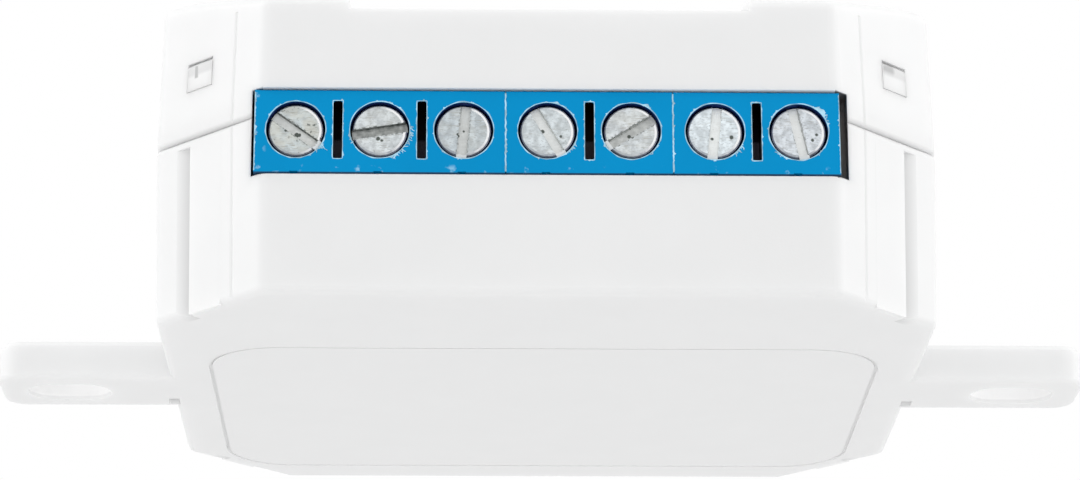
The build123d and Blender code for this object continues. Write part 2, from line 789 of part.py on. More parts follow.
# Transformer sizes and place
transformer_centre = (7.4, -2.4)
bobbin_size = (11.6, 11.0)
bobbin_round = 0.5
bobbin_height = 1.6
bobbin_stand = 0.1
transformer_pin_spacing = (10.0, 3.2)
transformer_pin_radius = 0.35
core_outside = (11.8, 9.0)
core_window = (9.0, 6.4)
core_length = 5.2
core_middle_z = board_top_z + 6.3
core_round = 0.3
winding_size = (8.8, 9.4)
winding_round = 1.6
winding_low_z = core_middle_z - core_window[1] / 2 + seat
winding_height = 6.3

# Transformer: winding on a bobbin, inside an upright ring of ferrite
with BuildPart() as transformer_bobbin:
    with BuildSketch(Plane.XY.offset(board_top_z + bobbin_stand)):
        with Locations(transformer_centre):
            RectangleRounded(*bobbin_size, bobbin_round)
    extrude(amount=bobbin_height)
    with BuildSketch(Plane.XY.offset(pin_low_z)):
        with Locations(transformer_centre):
            with GridLocations(*transformer_pin_spacing, 2, 3):
                Circle(transformer_pin_radius)
    extrude(amount=board_top_z + 2 * bobbin_stand - pin_low_z)
transformer_bobbin.part.label = "transformer_bobbin"
export_step(transformer_bobbin.part, "parts/transformer_bobbin.step")

with BuildPart() as transformer_core:
    with BuildSketch(Plane.XZ.offset(core_length / 2 - transformer_centre[1])):
        with Locations((transformer_centre[0], core_middle_z)):
            Rectangle(*core_outside)
            Rectangle(*core_window, mode=Mode.SUBTRACT)
    extrude(amount=-core_length)
    fillet(transformer_core.edges().filter_by(Axis.Y), core_round)
transformer_core.part.label = "transformer_core"
export_step(transformer_core.part, "parts/transformer_core.step")

with BuildPart() as transformer_winding:
    with BuildSketch(Plane.XY.offset(winding_low_z)):
        with Locations(transformer_centre):
            RectangleRounded(*winding_size, winding_round)
    extrude(amount=winding_height)
transformer_winding.part.label = "transformer_winding"
export_step(transformer_winding.part, "parts/transformer_winding.step")


# Upright can capacitors: place, radius, height and spacing of the two leads
lead_radius = 0.3
can_stand = 0.15
can_edge = 0.35
cans = {
    "bulk_capacitor": ((18.3, -4.9), 3.9, 10.6, 3.5),
    "output_capacitor": ((18.9, 2.9), 3.1, 5.2, 2.8),
}


# An upright can capacitor on two leads
def can_capacitor(name, centre, radius, height, lead_spacing):
    with BuildPart() as can:
        with BuildSketch(Plane.XY.offset(board_top_z + can_stand)):
            with Locations(centre):
                Circle(radius)
        extrude(amount=height)
        fillet(can.edges().filter_by(GeomType.CIRCLE), can_edge)
        with BuildSketch(Plane.XY.offset(pin_low_z)):
            with Locations(centre):
                with GridLocations(lead_spacing, 0, 2, 1):
                    Circle(lead_radius)
        extrude(amount=board_top_z + can_stand + root - pin_low_z)
    can.part.label = name
    export_step(can.part, f"parts/{name}.step")


for name, (centre, radius, height, lead_spacing) in cans.items():
    can_capacitor(name, centre, radius, height, lead_spacing)

# Varistor: a flat round disc standing on edge
varistor_place = (-15.6, 13.6)
varistor_radius = 4.0
varistor_thickness = 3.0
varistor_round = 0.9
varistor_middle_z = board_top_z + 4.4
varistor_lead_spacing = 3.6
with BuildPart() as varistor:
    with BuildSketch(Plane.XZ.offset(varistor_thickness / 2 - varistor_place[1])):
        with Locations((varistor_place[0], varistor_middle_z)):
            Circle(varistor_radius)
    extrude(amount=-varistor_thickness)
    fillet(varistor.edges().filter_by(GeomType.CIRCLE), varistor_round)
    with BuildSketch(Plane.XY.offset(pin_low_z)):
        with Locations(varistor_place):
            with GridLocations(varistor_lead_spacing, 0, 2, 1):
                Circle(lead_radius)
    extrude(amount=varistor_middle_z - varistor_radius + 2 * root - pin_low_z)
varistor.part.label = "varistor"
export_step(varistor.part, "parts/varistor.step")

# Fuse: a small round body lying along X on bent leads
fuse_place = (-4.6, 16.2)
fuse_length = 6.0
fuse_radius = 1.5
fuse_edge = 0.4
fuse_middle_z = board_top_z + 2.0
fuse_lead_bend = 0.7
fuse_lead_x = (fuse_place[0] - 4.0, fuse_place[0] + 4.0)
with BuildPart() as fuse:
    with BuildSketch(Plane.YZ.offset(fuse_place[0] - fuse_length / 2)):
        with Locations((fuse_place[1], fuse_middle_z)):
            Circle(fuse_radius)
    extrude(amount=fuse_length)
    fillet(fuse.edges().filter_by(GeomType.CIRCLE), fuse_edge)
    with BuildLine() as fuse_lead:
        FilletPolyline(
            (fuse_lead_x[0], fuse_place[1], pin_low_z),
            (fuse_lead_x[0], fuse_place[1], fuse_middle_z),
            (fuse_lead_x[1], fuse_place[1], fuse_middle_z),
            (fuse_lead_x[1], fuse_place[1], pin_low_z),
            radius=fuse_lead_bend,
        )
    with BuildSketch(Plane.XY.offset(pin_low_z)):
        with Locations((fuse_lead_x[0], fuse_place[1])):
            Circle(lead_radius)
    sweep(path=fuse_lead.wires()[0])
fuse.part.label = "fuse"
export_step(fuse.part, "parts/fuse.step")

# Main board sizes and the places of its holes
board_width = 45.0
board_length = 40.0
board_corner = 7.9
lead_hole_radius = 0.7
header_pitch = 2.0
header_places = [(2.6 + n * header_pitch, 17.2) for n in range(4)]
lead_holes = [(x, strip_face_y + contact_at + contact_thickness / 2) for x in pole_x]
lead_holes += [(cx + x, cy + y) for cx, cy in relay_centres.values() for x, y in relay_pins]
lead_holes += [
    (transformer_centre[0] + side * transformer_pin_spacing[0] / 2, transformer_centre[1] + y)
    for side in (-1, 1)
    for y in (-transformer_pin_spacing[1], 0, transformer_pin_spacing[1])
]
lead_holes += [
    (centre[0] + side * lead_spacing / 2, centre[1])
    for centre, radius, height, lead_spacing in cans.values()
    for side in (-1, 1)
]
lead_holes += [(varistor_place[0] + side * varistor_lead_spacing / 2, varistor_place[1]) for side in (-1, 1)]
lead_holes += [(x, fuse_place[1]) for x in fuse_lead_x]

# Main board: carries the terminals, relays and power supply
with BuildPart() as main_board:
    with BuildSketch(Plane.XY.offset(board_low_z)) as board_outline:
        Rectangle(board_width, board_length)
        chamfer(board_outline.vertices(), board_corner)
    extrude(amount=board_thickness)
    with Locations(*[(x, y, board_top_z) for x, y in lead_holes + header_places]):
        Hole(lead_hole_radius)
    with Locations(*[(x, y, board_top_z) for x, y in post_places]):
        Hole(post_hole_radius)
main_board.part.label = "main_board"
export_step(main_board.part, "parts/main_board.step")

# Chip parts on the main board, each with its size and place
chips = [
    ((5.0, 4.0, 1.8), (3.9, 8.4)),
    ((4.0, 5.0, 1.5), (11.0, 8.2)),
    ((3.0, 1.5, 1.0), (-10.2, 12.6)),
    ((1.6, 0.8, 0.6), (15.4, 11.6)),
    ((1.6, 0.8, 0.6), (17.6, 11.6)),
    ((1.6, 0.8, 0.6), (19.8, 11.6)),
    ((0.8, 1.6, 0.6), (12.8, -9.6)),
    ((0.8, 1.6, 0.6), (14.4, -9.6)),
]
with BuildPart() as chip_parts:
    for size, place in chips:
        with Locations((*place, board_top_z + seat)):
            Box(*size, align=(Align.CENTER, Align.CENTER, Align.MIN))
chip_parts.part.label = "chip_parts"
export_step(chip_parts.part, "parts/chip_parts.step")

# Radio board, level above the rear right of the main board
radio_corners = [(1.2, 7.6), (20.8, 7.6), (20.8, 12.6), (14.9, 18.6), (1.2, 18.6)]
header_hole_radius = 0.45
with BuildPart() as radio_board:
    with BuildSketch(Plane.XY.offset(radio_low_z)):
        with BuildLine():
            Polyline(*radio_corners, close=True)
        make_face()
    extrude(amount=radio_thickness)
    with Locations(*[(x, y, radio_top_z) for x, y in header_places]):
        Hole(header_hole_radius)
radio_board.part.label = "radio_board"
export_step(radio_board.part, "parts/radio_board.step")

# Header: four pins that join the two boards, with a plastic spacer under the radio board
header_pin = 0.5
header_rise = 0.6
spacer_size = (8.0, 2.0)
spacer_height = 2.2
spacer_gap = 0.1
with BuildPart() as header_pins:
    with BuildSketch(Plane.XY.offset(pin_low_z)):
        with Locations(*header_places):
            Rectangle(header_pin, header_pin)
    extrude(amount=radio_top_z + header_rise - pin_low_z)
    with BuildSketch(Plane.XY.offset(radio_low_z - spacer_gap)):
        with Locations(((header_places[0][0] + header_places[-1][0]) / 2, header_places[0][1])):
            Rectangle(*spacer_size)
    extrude(amount=-spacer_height)
header_pins.part.label = "header_pins"
export_step(header_pins.part, "parts/header_pins.step")

# Shield can: a tray turned over on the radio board
shield_place = (5.0, 13.4)
shield_size = (6.6, 5.0)
shield_round = 0.4
shield_wall = 0.2
shield_height = 1.8
with BuildPart() as shield_can:
    with BuildSketch(Plane.XY.offset(radio_top_z + seat)):
        with Locations(shield_place):
            RectangleRounded(*shield_size, shield_round)
    extrude(amount=shield_height)
    with BuildSketch(Plane.XY.offset(radio_top_z + seat)):
        with Locations(shield_place):
            RectangleRounded(
                shield_size[0] - 2 * shield_wall, shield_size[1] - 2 * shield_wall, shield_round - shield_wall
            )
    extrude(amount=shield_height - shield_wall, mode=Mode.SUBTRACT)
shield_can.part.label = "shield_can"
export_step(shield_can.part, "parts/shield_can.step")

# Radio chip under the shield
radio_chip_size = (4.0, 4.0, 0.9)
with BuildPart() as radio_chip:
    with Locations((*shield_place, radio_top_z + seat)):
        Box(*radio_chip_size, align=(Align.CENTER, Align.CENTER, Align.MIN))
radio_chip.part.label = "radio_chip"
export_step(radio_chip.part, "parts/radio_chip.step")

# Crystal: a low oval can
crystal_place = (4.4, 9.2)
crystal_length = 4.2
crystal_width = 1.9
crystal_height = 1.3
crystal_edge = 0.3
with BuildPart() as crystal:
    with BuildSketch(Plane.XY.offset(radio_top_z + seat)):
        with Locations(crystal_place):
            SlotOverall(crystal_length, crystal_width)
    extrude(amount=crystal_height)
    fillet(crystal.faces().sort_by(Axis.Z)[-1].edges(), crystal_edge)
crystal.part.label = "crystal"
export_step(crystal.part, "parts/crystal.step")

# Antenna: a bent wire standing up behind the radio board's right side
antenna_foot = (18.6, 9.0)
antenna_turn = (18.6, 1.0)
antenna_tip = (14.4, 1.0)
antenna_low_z = radio_top_z + seat
antenna_high_z = radio_top_z + 3.4
antenna_bend = 1.2
antenna_radius = 0.35
with BuildPart() as antenna:
    with BuildLine() as antenna_path:
        FilletPolyline(
            (*antenna_foot, antenna_low_z),
            (*antenna_foot, antenna_high_z),
            (*antenna_turn, antenna_high_z),
            (*antenna_tip, antenna_high_z),
            radius=antenna_bend,
        )
    with BuildSketch(Plane.XY.offset(antenna_low_z)):
        with Locations(antenna_foot):
            Circle(antenna_radius)
    sweep(path=antenna_path.wires()[0])
antenna.part.label = "antenna"
export_step(antenna.part, "parts/antenna.step")

# Push switch on the radio board, under the pairing button
switch_width = 4.6
switch_round = 0.4
switch_body_height = 1.7
switch_well_radius = 1.25
switch_well_z = radio_top_z + 0.8
plunger_radius = 1.18
plunger_low_z = radio_top_z + 1.15
plunger_top_z = radio_top_z + 2.4
plunger_edge = 0.15
with BuildPart() as switch_body:
    with BuildSketch(Plane.XY.offset(radio_top_z + seat)):
        with Locations(button_place):
            RectangleRounded(switch_width, switch_width, switch_round)
    extrude(amount=switch_body_height)
    with BuildSketch(Plane.XY.offset(switch_well_z)):
        with Locations(button_place):
            Circle(switch_well_radius)
    extrude(amount=switch_body_height, mode=Mode.SUBTRACT)
switch_body.part.label = "switch_body"
export_step(switch_body.part, "parts/switch_body.step")

with BuildPart() as switch_plunger:
    with BuildSketch(Plane.XY.offset(plunger_low_z)):
        with Locations(button_place):
            Circle(plunger_radius)
    extrude(amount=plunger_top_z - plunger_low_z)
    fillet(switch_plunger.edges().filter_by(GeomType.CIRCLE), plunger_edge)
switch_plunger.part.label = "switch_plunger"
export_step(switch_plunger.part, "parts/switch_plunger.step")

# Pairing button: cap in the roof's hole, flange below the roof, stem down to the switch
flange_gap_below_roof = 0.15
button_flange_radius = button_hole_radius + 0.6
button_flange_thickness = 0.95
button_flange_z = roof_inside_z - flange_gap_below_roof - button_flange_thickness
button_cap_radius = button_hole_radius - 0.08
button_rise = 0.35
button_edge = 0.3
button_stem_radius = 0.9
with BuildPart() as pairing_button:
    with BuildSketch(Plane.XY.offset(button_flange_z)):
        with Locations(button_place):
            Circle(button_flange_radius)
    extrude(amount=button_flange_thickness)
    with BuildSketch(Plane.XY.offset(button_flange_z)):
        with Locations(button_place):
            Circle(button_cap_radius)
    extrude(amount=body_height + button_rise - button_flange_z)
    fillet(pairing_button.faces().sort_by(Axis.Z)[-1].edges(), button_edge)
    with BuildSketch(Plane.XY.offset(plunger_top_z + seat)):
        with Locations(button_place):
            Circle(button_stem_radius)
    extrude(amount=button_flange_z - plunger_top_z)
pairing_button.part.label = "pairing_button"
export_step(pairing_button.part, "parts/pairing_button.step")

# Status lamp on the radio board and the light pipe above it
led_size = (1.6, 0.8, 0.7)
pipe_radius = pipe_hole_radius - 0.04
pipe_low_z = radio_top_z + 1.2
pipe_rise = 0.05
pipe_flange_radius = 1.6
pipe_flange_thickness = 0.8
with BuildPart() as status_led:
    with Locations((*led_place, radio_top_z + seat)):
        Box(*led_size, align=(Align.CENTER, Align.CENTER, Align.MIN))
status_led.part.label = "status_led"
export_step(status_led.part, "parts/status_led.step")

with BuildPart() as light_pipe:
    with BuildSketch(Plane.XY.offset(pipe_low_z)):
        with Locations(led_place):
            Circle(pipe_radius)
    extrude(amount=body_height + pipe_rise - pipe_low_z)
    with BuildSketch(Plane.XY.offset(roof_inside_z - seat)):
        with Locations(led_place):
            Circle(pipe_flange_radius)
    extrude(amount=-pipe_flange_thickness)
light_pipe.part.label = "light_pipe"
export_step(light_pipe.part, "parts/light_pipe.step")
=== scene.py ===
import math
import random

import bmesh
import bpy
from mathutils import Matrix, Vector


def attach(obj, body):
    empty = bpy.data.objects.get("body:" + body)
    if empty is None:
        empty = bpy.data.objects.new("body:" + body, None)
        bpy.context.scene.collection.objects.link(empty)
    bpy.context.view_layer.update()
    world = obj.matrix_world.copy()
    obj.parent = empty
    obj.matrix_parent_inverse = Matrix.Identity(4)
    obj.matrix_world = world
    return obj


# In-wall relay switch module: a white octagonal case with a blue seven-pole terminal
# strip in its front. Metres, +Z up, terminals towards -Y, origin under the middle.

bl_info = {
    "name": "In-wall switch finishes",
    "version": (1, 0, 0),
    "blender": (4, 5, 0),
    "location": "3D View > Sidebar > In-wall switch",
    "description": "Gives an in-wall switch module its plastics, metals and parts, and lights it",
    "category": "Object",
}

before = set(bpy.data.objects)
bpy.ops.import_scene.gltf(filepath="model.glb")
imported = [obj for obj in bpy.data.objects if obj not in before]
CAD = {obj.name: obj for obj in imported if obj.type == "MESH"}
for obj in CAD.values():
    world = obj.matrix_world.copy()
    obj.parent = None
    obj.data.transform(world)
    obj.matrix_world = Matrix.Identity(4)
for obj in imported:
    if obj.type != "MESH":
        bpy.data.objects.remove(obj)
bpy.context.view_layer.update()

MM = 0.001
ROOT_TWO = math.sqrt(2)

# Places and sizes of the solids that the finishes follow. WINDOW is the case's opening for the
# terminal strip, and the corner faces stand where the sizes of x and y add up to CORNER_SUM.
POLES = range(1, 8)
PITCH = 5.08 * MM
STRIP_MIDDLE_X = -0.125 * MM
STRIP_FACE_Y = -21.55 * MM
STRIP_LOW_Z, STRIP_HIGH_Z = 7.61 * MM, 12.95 * MM
SCREW_Z = 10.4 * MM
SEAMS_AFTER = (3, 5)
DIVIDER_HALF_SIZE = (0.28 * MM, 1.85 * MM)
BORE_RADIUS = 1.8 * MM
HEAD_RADIUS = 1.7 * MM
HEAD_FRONT_Y = STRIP_FACE_Y + 0.22 * MM
SLOT_HALF_WIDTH = 0.31 * MM
BURRED = (1, 3, 4, 5, 6, 7)
SLOT_ANGLES = {1: -36, 2: 9, 3: 85, 4: -60, 5: 32, 6: 84, 7: -78}
WINDOW_X, WINDOW_Z = (-18.05 * MM, 18.15 * MM), (7.46 * MM, 13.08 * MM)
STRIP_GAP_X = 17.4 * MM
CORNER_SUM, CORNER_MIDDLE = 39.3 * MM, 2.5 * MM
SHELL_SUM = 37.5 * MM
SEAM_Z = 11.3 * MM
GROOVE, GROOVE_TOP_Z = (1.62 * MM, 2.82 * MM), 10.795 * MM
LATCH_ALONG, LATCH_Z = (-0.08 * MM, 2.08 * MM), (14.52 * MM, 16.28 * MM)
EAR_HOLE_X, EAR_HOLE_Z = (27.95 * MM, 33.45 * MM), (0.3 * MM, 2.2 * MM)
EAR_HOLE_EDGE_Y = (1.82 * MM, 1.85 * MM)

# The photograph's shades that plain light leaves out, and how strong they are
# All of these are painted shade, the heads' navy also a painted reflection of the blue bore; the
# ear holes' white is painted light
BLACK = (0.0, 0.0, 0.0)
HOLE_PAINTED_LIGHT = (0.98, 0.98, 0.98)
GAP_SHADES = {-1: (0.5, 0.52, 0.54), 1: (0.2, 0.188, 0.178)}
GROOVE_SHADE, SEAM_SHADE = 0.2, 0.13
LATCH_SHADE, LATCH_SPOT_SHADE, LATCH_CORE_SHADE = 0.14, 0.4, 0.42
DIVIDER_SHADES = ((0.09, 0.085, 0.11), (0.003, 0.002, 0.007))
LOWER_EDGE_SHADE = (0.03, 0.04, 0.075)
HEAD_SHADE_AND_REFLECTION = (0.01, 0.022, 0.085)

# Colours on the screw heads: the slot's white is painted light, the rim's white a painted
# highlight, its grey painted shade
WARM_ZINC, BROWN_STREAK = (0.66, 0.65, 0.57), (0.38, 0.36, 0.3)
SLOT_PAINTED_LIGHT, RIM_HIGHLIGHT, RIM_LOWER_SHADE = (0.97, 0.985, 0.97), (0.98, 0.985, 0.985), (0.3, 0.33, 0.37)

# How far the flash stands above the strip's face and reaches below it, its narrowest width,
# and where the burrs start and end in depth, counted from the front of the head
FLASH_LIFT = 0.02 * MM
FLASH_NARROW = 0.02 * MM
BURR_DEPTHS = (-0.03 * MM, 0.06 * MM)

# How much grime lies on each screw's slot floor, how much painted shade with grime on its upper
# wall, how much grime along the slot's edges and over its head, and how warm the plating looks
GRIME_AND_SHADE = {
    1: (0.3, 0.95, 0.7, 0.85, 0.6), 2: (0.8, 1.0, 0.8, 0.3, 0.15), 3: (0.3, 0.3, 0.6, 0.15, 0.25),
    4: (0.14, 0.3, 0.35, 0.3, 0.1), 5: (0.5, 0.55, 0.8, 0.2, 0.3), 6: (0.04, 0.2, 0.3, 0.15, 0.0),
    7: (0.06, 0.45, 0.55, 0.2, 0.05),
}

# How bright each screw's plating is in red, green and blue, as shares of the zinc colour
TINT = {
    1: (0.81, 0.88, 0.91), 2: (0.95, 0.98, 1.0), 3: (0.8, 0.86, 0.91), 4: (0.95, 1.0, 1.03),
    5: (0.96, 0.99, 1.02), 6: (1.1, 1.16, 1.2), 7: (0.97, 1.0, 1.05),
}

# Small dark pits in the heads, as across, up and radius in millimetres from the middle
PITS = {
    1: ((0.06, -0.2, 0.18), (0.2, -0.2, 0.14), (-0.62, 0.0, 0.1)),
    2: ((-0.1, -0.5, 0.14), (0.12, -0.62, 0.11)),
    3: ((0.0, 0.1, 0.09), (-0.35, -0.2, 0.11)),
    4: ((-0.3, 0.12, 0.14), (0.8, -0.3, 0.1)),
    5: ((-0.12, -0.18, 0.14), (0.06, -0.3, 0.12)),
    6: ((-0.15, -0.3, 0.11), (1.0, -0.3, 0.14)),
    7: ((1.1, -0.1, 0.11), (0.85, -0.45, 0.11)),
}

# Whiskers of flash at each bore: from and to angle, how many and how long in millimetres
WHISKERS = {
    1: ((-48, -30, 7, 0.25), (-36, -32, 1, 0.55)), 2: ((-65, 8, 24, 0.32), (195, 215, 4, 0.15)),
    3: ((80, 100, 2, 0.15), (-105, -80, 3, 0.1)), 4: ((-58, -25, 8, 0.24), (50, 80, 4, 0.14)),
    5: ((-55, -32, 5, 0.2), (50, 66, 5, 0.2)), 6: ((-58, -30, 7, 0.28), (-98, -85, 3, 0.2)),
    7: ((22, 60, 24, 0.3), (-138, -110, 9, 0.2), (-60, -35, 3, 0.22)),
}

# Wider flaps of flash at a bore: share of the turn, spread and how many times wider
FLAPS = {
    4: ((0.2, 0.012, 1.6),),
    5: ((0.165, 0.014, 2.2),),
    7: ((0.115, 0.022, 4.2), (0.145, 0.01, 2.0)),
}


def pole_x(number):
    return STRIP_MIDDLE_X + (number - 4) * PITCH


# The sizes and colours that a user would change


class CaseSettings(bpy.types.PropertyGroup):
    white: bpy.props.FloatVectorProperty(
        name="Case white", description="Colour of the moulded case",
        subtype="COLOR", size=3, min=0, max=1, default=(0.85, 0.852, 0.853),
    )
    grain: bpy.props.FloatProperty(
        name="Grain", description="Width of one grain of the moulded surface",
        unit="LENGTH", min=0.02 * MM, max=1 * MM, default=0.12 * MM,
    )
    depth: bpy.props.FloatProperty(
        name="Light depth", description="How far light spreads inside the white plastic",
        unit="LENGTH", min=0, max=5 * MM, default=0.8 * MM,
    )


class StripSettings(bpy.types.PropertyGroup):
    blue: bpy.props.FloatVectorProperty(
        name="Terminal blue", description="Colour of the terminal blocks",
        subtype="COLOR", size=3, min=0, max=1, default=(0.0, 0.285, 0.615),
    )
    scuff: bpy.props.FloatVectorProperty(
        name="Scuff blue", description="Pale blue of rubbed edges and mould flash",
        subtype="COLOR", size=3, min=0, max=1, default=(0.48, 0.78, 0.95),
    )
    # Painted shade on the walls inside the bores and dividers
    well_shade: bpy.props.FloatVectorProperty(
        name="Well", description="Colour of the shaded walls inside the bores and dividers",
        subtype="COLOR", size=3, min=0, max=1, default=(0.01, 0.026, 0.12),
    )
    flash_width: bpy.props.FloatProperty(
        name="Flash width", description="Width of the thin mould flash round the bores",
        unit="LENGTH", min=0.01 * MM, max=0.2 * MM, default=0.045 * MM,
    )


class MetalSettings(bpy.types.PropertyGroup):
    zinc: bpy.props.FloatVectorProperty(
        name="Zinc", description="Colour of the plated screws and clamps",
        subtype="COLOR", size=3, min=0, max=1, default=(0.76, 0.785, 0.79),
    )
    # Also the colour of the painted shade on each slot's upper wall, along with the grime
    grime: bpy.props.FloatVectorProperty(
        name="Grime", description="Colour of the dirt that settles in the screw slots",
        subtype="COLOR", size=3, min=0, max=1, default=(0.085, 0.1, 0.09),
    )


class StageSettings(bpy.types.PropertyGroup):
    floor_height: bpy.props.FloatProperty(
        name="Floor height", description="Height of the floor, below the camera's sight line",
        unit="LENGTH", default=-0.1,
    )
    ambient: bpy.props.FloatProperty(
        name="Ambient light", description="Strength of the even light from all sides",
        min=0, max=2, default=1.0,
    )
    side_power: bpy.props.FloatProperty(
        name="Side lights", description="Power of each side light",
        unit="POWER", min=0, default=1.0,
    )
    lens: bpy.props.FloatProperty(
        name="Lens", description="Focal length on a 36 mm wide sensor, in millimetres",
        min=20, max=300, default=122.84,
    )


# Node recipes shared by the finishes


def new_finish(name, roughness, metallic=0.0, **sockets):
    material = bpy.data.materials.new(name)
    material.use_nodes = True
    shader = material.node_tree.nodes["Principled BSDF"]
    shader.inputs["Roughness"].default_value = roughness
    shader.inputs["Metallic"].default_value = metallic
    for socket, value in sockets.items():
        shader.inputs[socket.replace("_", " ")].default_value = value
    return material, shader


class Recipe:
    """The nodes that lead to one material's shader."""

    def __init__(self, material, shader):
        self.tree = material.node_tree
        self.shader = shader
        self.place = self.add("ShaderNodeTexCoord").outputs["Object"]
        self.split = self.add("ShaderNodeSeparateXYZ")
        self.link(self.place, self.split.inputs[0])

    def add(self, kind, **settings):
        node = self.tree.nodes.new(kind)
        for key, value in settings.items():
            setattr(node, key, value)
        return node

    def link(self, source, target):
        self.tree.links.new(source, target)

    def feed(self, value, target):
        if isinstance(value, bpy.types.NodeSocket):
            self.link(value, target)
        else:
            target.default_value = value

    def axis(self, letter):
        return self.split.outputs[letter]

    def math(self, operation, first, second=0.0, third=None):
        node = self.add("ShaderNodeMath", operation=operation)
        self.feed(first, node.inputs[0])
        self.feed(second, node.inputs[1])
        if third is not None:
            self.feed(third, node.inputs[2])
        return node.outputs[0]

    def noise(self, size, detail=3.0, stretch=(1, 1, 1), turn=(0, 0, 0)):
        """Noise whose blotches are about size metres across."""
        mapping = self.add("ShaderNodeMapping")
        mapping.inputs["Rotation"].default_value = turn
        mapping.inputs["Scale"].default_value = [s / size for s in stretch]
        self.link(self.place, mapping.inputs["Vector"])
        node = self.add("ShaderNodeTexNoise")
        node.inputs["Scale"].default_value = 1.0
        node.inputs["Detail"].default_value = detail
        self.link(mapping.outputs[0], node.inputs["Vector"])
        return node.outputs["Fac"]

    def band(self, value, low, high, to_low=0.0, to_high=1.0):
        """value between low and high, stretched to the other two and held there."""
        node = self.add("ShaderNodeMapRange", clamp=True)
        self.feed(value, node.inputs["Value"])
        for socket, number in zip(("From Min", "From Max", "To Min", "To Max"),
                                  (low, high, to_low, to_high)):
            node.inputs[socket].default_value = number
        return node.outputs["Result"]

    def below(self, value, low, high):
        """One below low, fading to nothing at high."""
        return self.band(value, low, high, 1, 0)

    def window(self, value, low, high, soft):
        """One where value lies between low and high, fading out over soft at both ends."""
        return self.times(self.band(value, low - soft, low), self.below(value, high, high + soft))

    def minus(self, first, second):
        return self.math("SUBTRACT", first, second)

    def size(self, value):
        return self.math("ABSOLUTE", value)

    def distance(self, first, second):
        """How far a place is that lies first along one axis and second along another."""
        squares = self.math("ADD", self.times(first, first), self.times(second, second))
        return self.math("SQRT", squares)

    def times(self, *factors):
        result = factors[0]
        for factor in factors[1:]:
            result = self.math("MULTIPLY", result, factor)
        return result

    def most(self, *factors):
        result = factors[0]
        for factor in factors[1:]:
            result = self.math("MAXIMUM", result, factor)
        return result

    def mix(self, factor, first, second):
        node = self.add("ShaderNodeMix", data_type="RGBA")
        self.feed(factor, node.inputs[0])
        for value, socket in ((first, node.inputs[6]), (second, node.inputs[7])):
            self.feed(value if isinstance(value, bpy.types.NodeSocket) else (*value, 1.0), socket)
        return node.outputs[2]

    def colour(self, value):
        self.link(value, self.shader.inputs["Base Color"])

    def roughness(self, value):
        self.link(value, self.shader.inputs["Roughness"])

    def bump(self, height, depth, strength=0.6):
        node = self.add("ShaderNodeBump")
        node.inputs["Distance"].default_value = depth
        node.inputs["Strength"].default_value = strength
        self.link(height, node.inputs["Height"])
        self.link(node.outputs["Normal"], self.shader.inputs["Normal"])


def shade(colour, factor):
    return [min(1.0, part * factor) for part in colour]


def rubbed_and_grained(recipe, roughness, grain):
    """Patches a little smoother or rougher than the rest, and an even grain."""
    rubbed = recipe.band(recipe.noise(2.5 * MM, 5.0), 0.35, 0.75)
    recipe.roughness(recipe.band(rubbed, 0, 1, roughness - 0.06, roughness + 0.06))
    recipe.bump(recipe.noise(grain, 2.0), grain * 0.06)


def moulded(name, colour, roughness, grain, variation=0.04, **sockets):
    """A moulded plastic: faint cloudiness, a fine even grain and rubbed patches."""
    material, shader = new_finish(name, roughness, **sockets)
    recipe = Recipe(material, shader)
    cloud = recipe.band(recipe.noise(6.0 * MM, 4.0), 0.3, 0.7)
    recipe.colour(recipe.mix(cloud, shade(colour, 1 - variation), colour))
    rubbed_and_grained(recipe, roughness, grain)
    return material


def plated(name, colour, roughness, variation=0.3):
    """A plated metal: fine rolled lines along one direction and dull patches."""
    material, shader = new_finish(name, roughness, metallic=1.0)
    recipe = Recipe(material, shader)
    lines = recipe.noise(1.2 * MM, 3.0, stretch=(1, 8, 14))
    patches = recipe.band(recipe.noise(0.9 * MM, 5.0), 0.35, 0.7)
    recipe.colour(recipe.mix(patches, shade(colour, 1 - variation), colour))
    recipe.roughness(recipe.band(lines, 0.3, 0.7, roughness - 0.1, roughness + 0.14))
    recipe.bump(lines, 0.01 * MM, 0.5)
    return material


def dress(material, *names):
    for name in names:
        for slot in CAD[name].material_slots:
            slot.material = material


def finish_object(name, mesh, material, body):
    piece = bpy.data.objects.new(name, mesh)
    bpy.context.scene.collection.objects.link(piece)
    mesh.materials.append(material)
    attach(piece, body)


def finish_mesh(name, shape):
    """The mesh of a shape that is now complete."""
    bmesh.ops.recalc_face_normals(shape, faces=shape.faces)
    mesh = bpy.data.meshes.new(name)
    shape.to_mesh(mesh)
    shape.free()
    return mesh


def skin(shape, rings, closed):
    """Faces from each ring of four corners to the next, with the ends capped or joined."""
    pairs = list(zip(rings, rings[1:]))
    if closed:
        pairs.append((rings[-1], rings[0]))
    else:
        shape.faces.new(rings[0])
        shape.faces.new(reversed(rings[-1]))
    for near, far in pairs:
        for corner in range(4):
            after = (corner + 1) % 4
            shape.faces.new((near[corner], near[after], far[after], far[corner]))


# The pieces


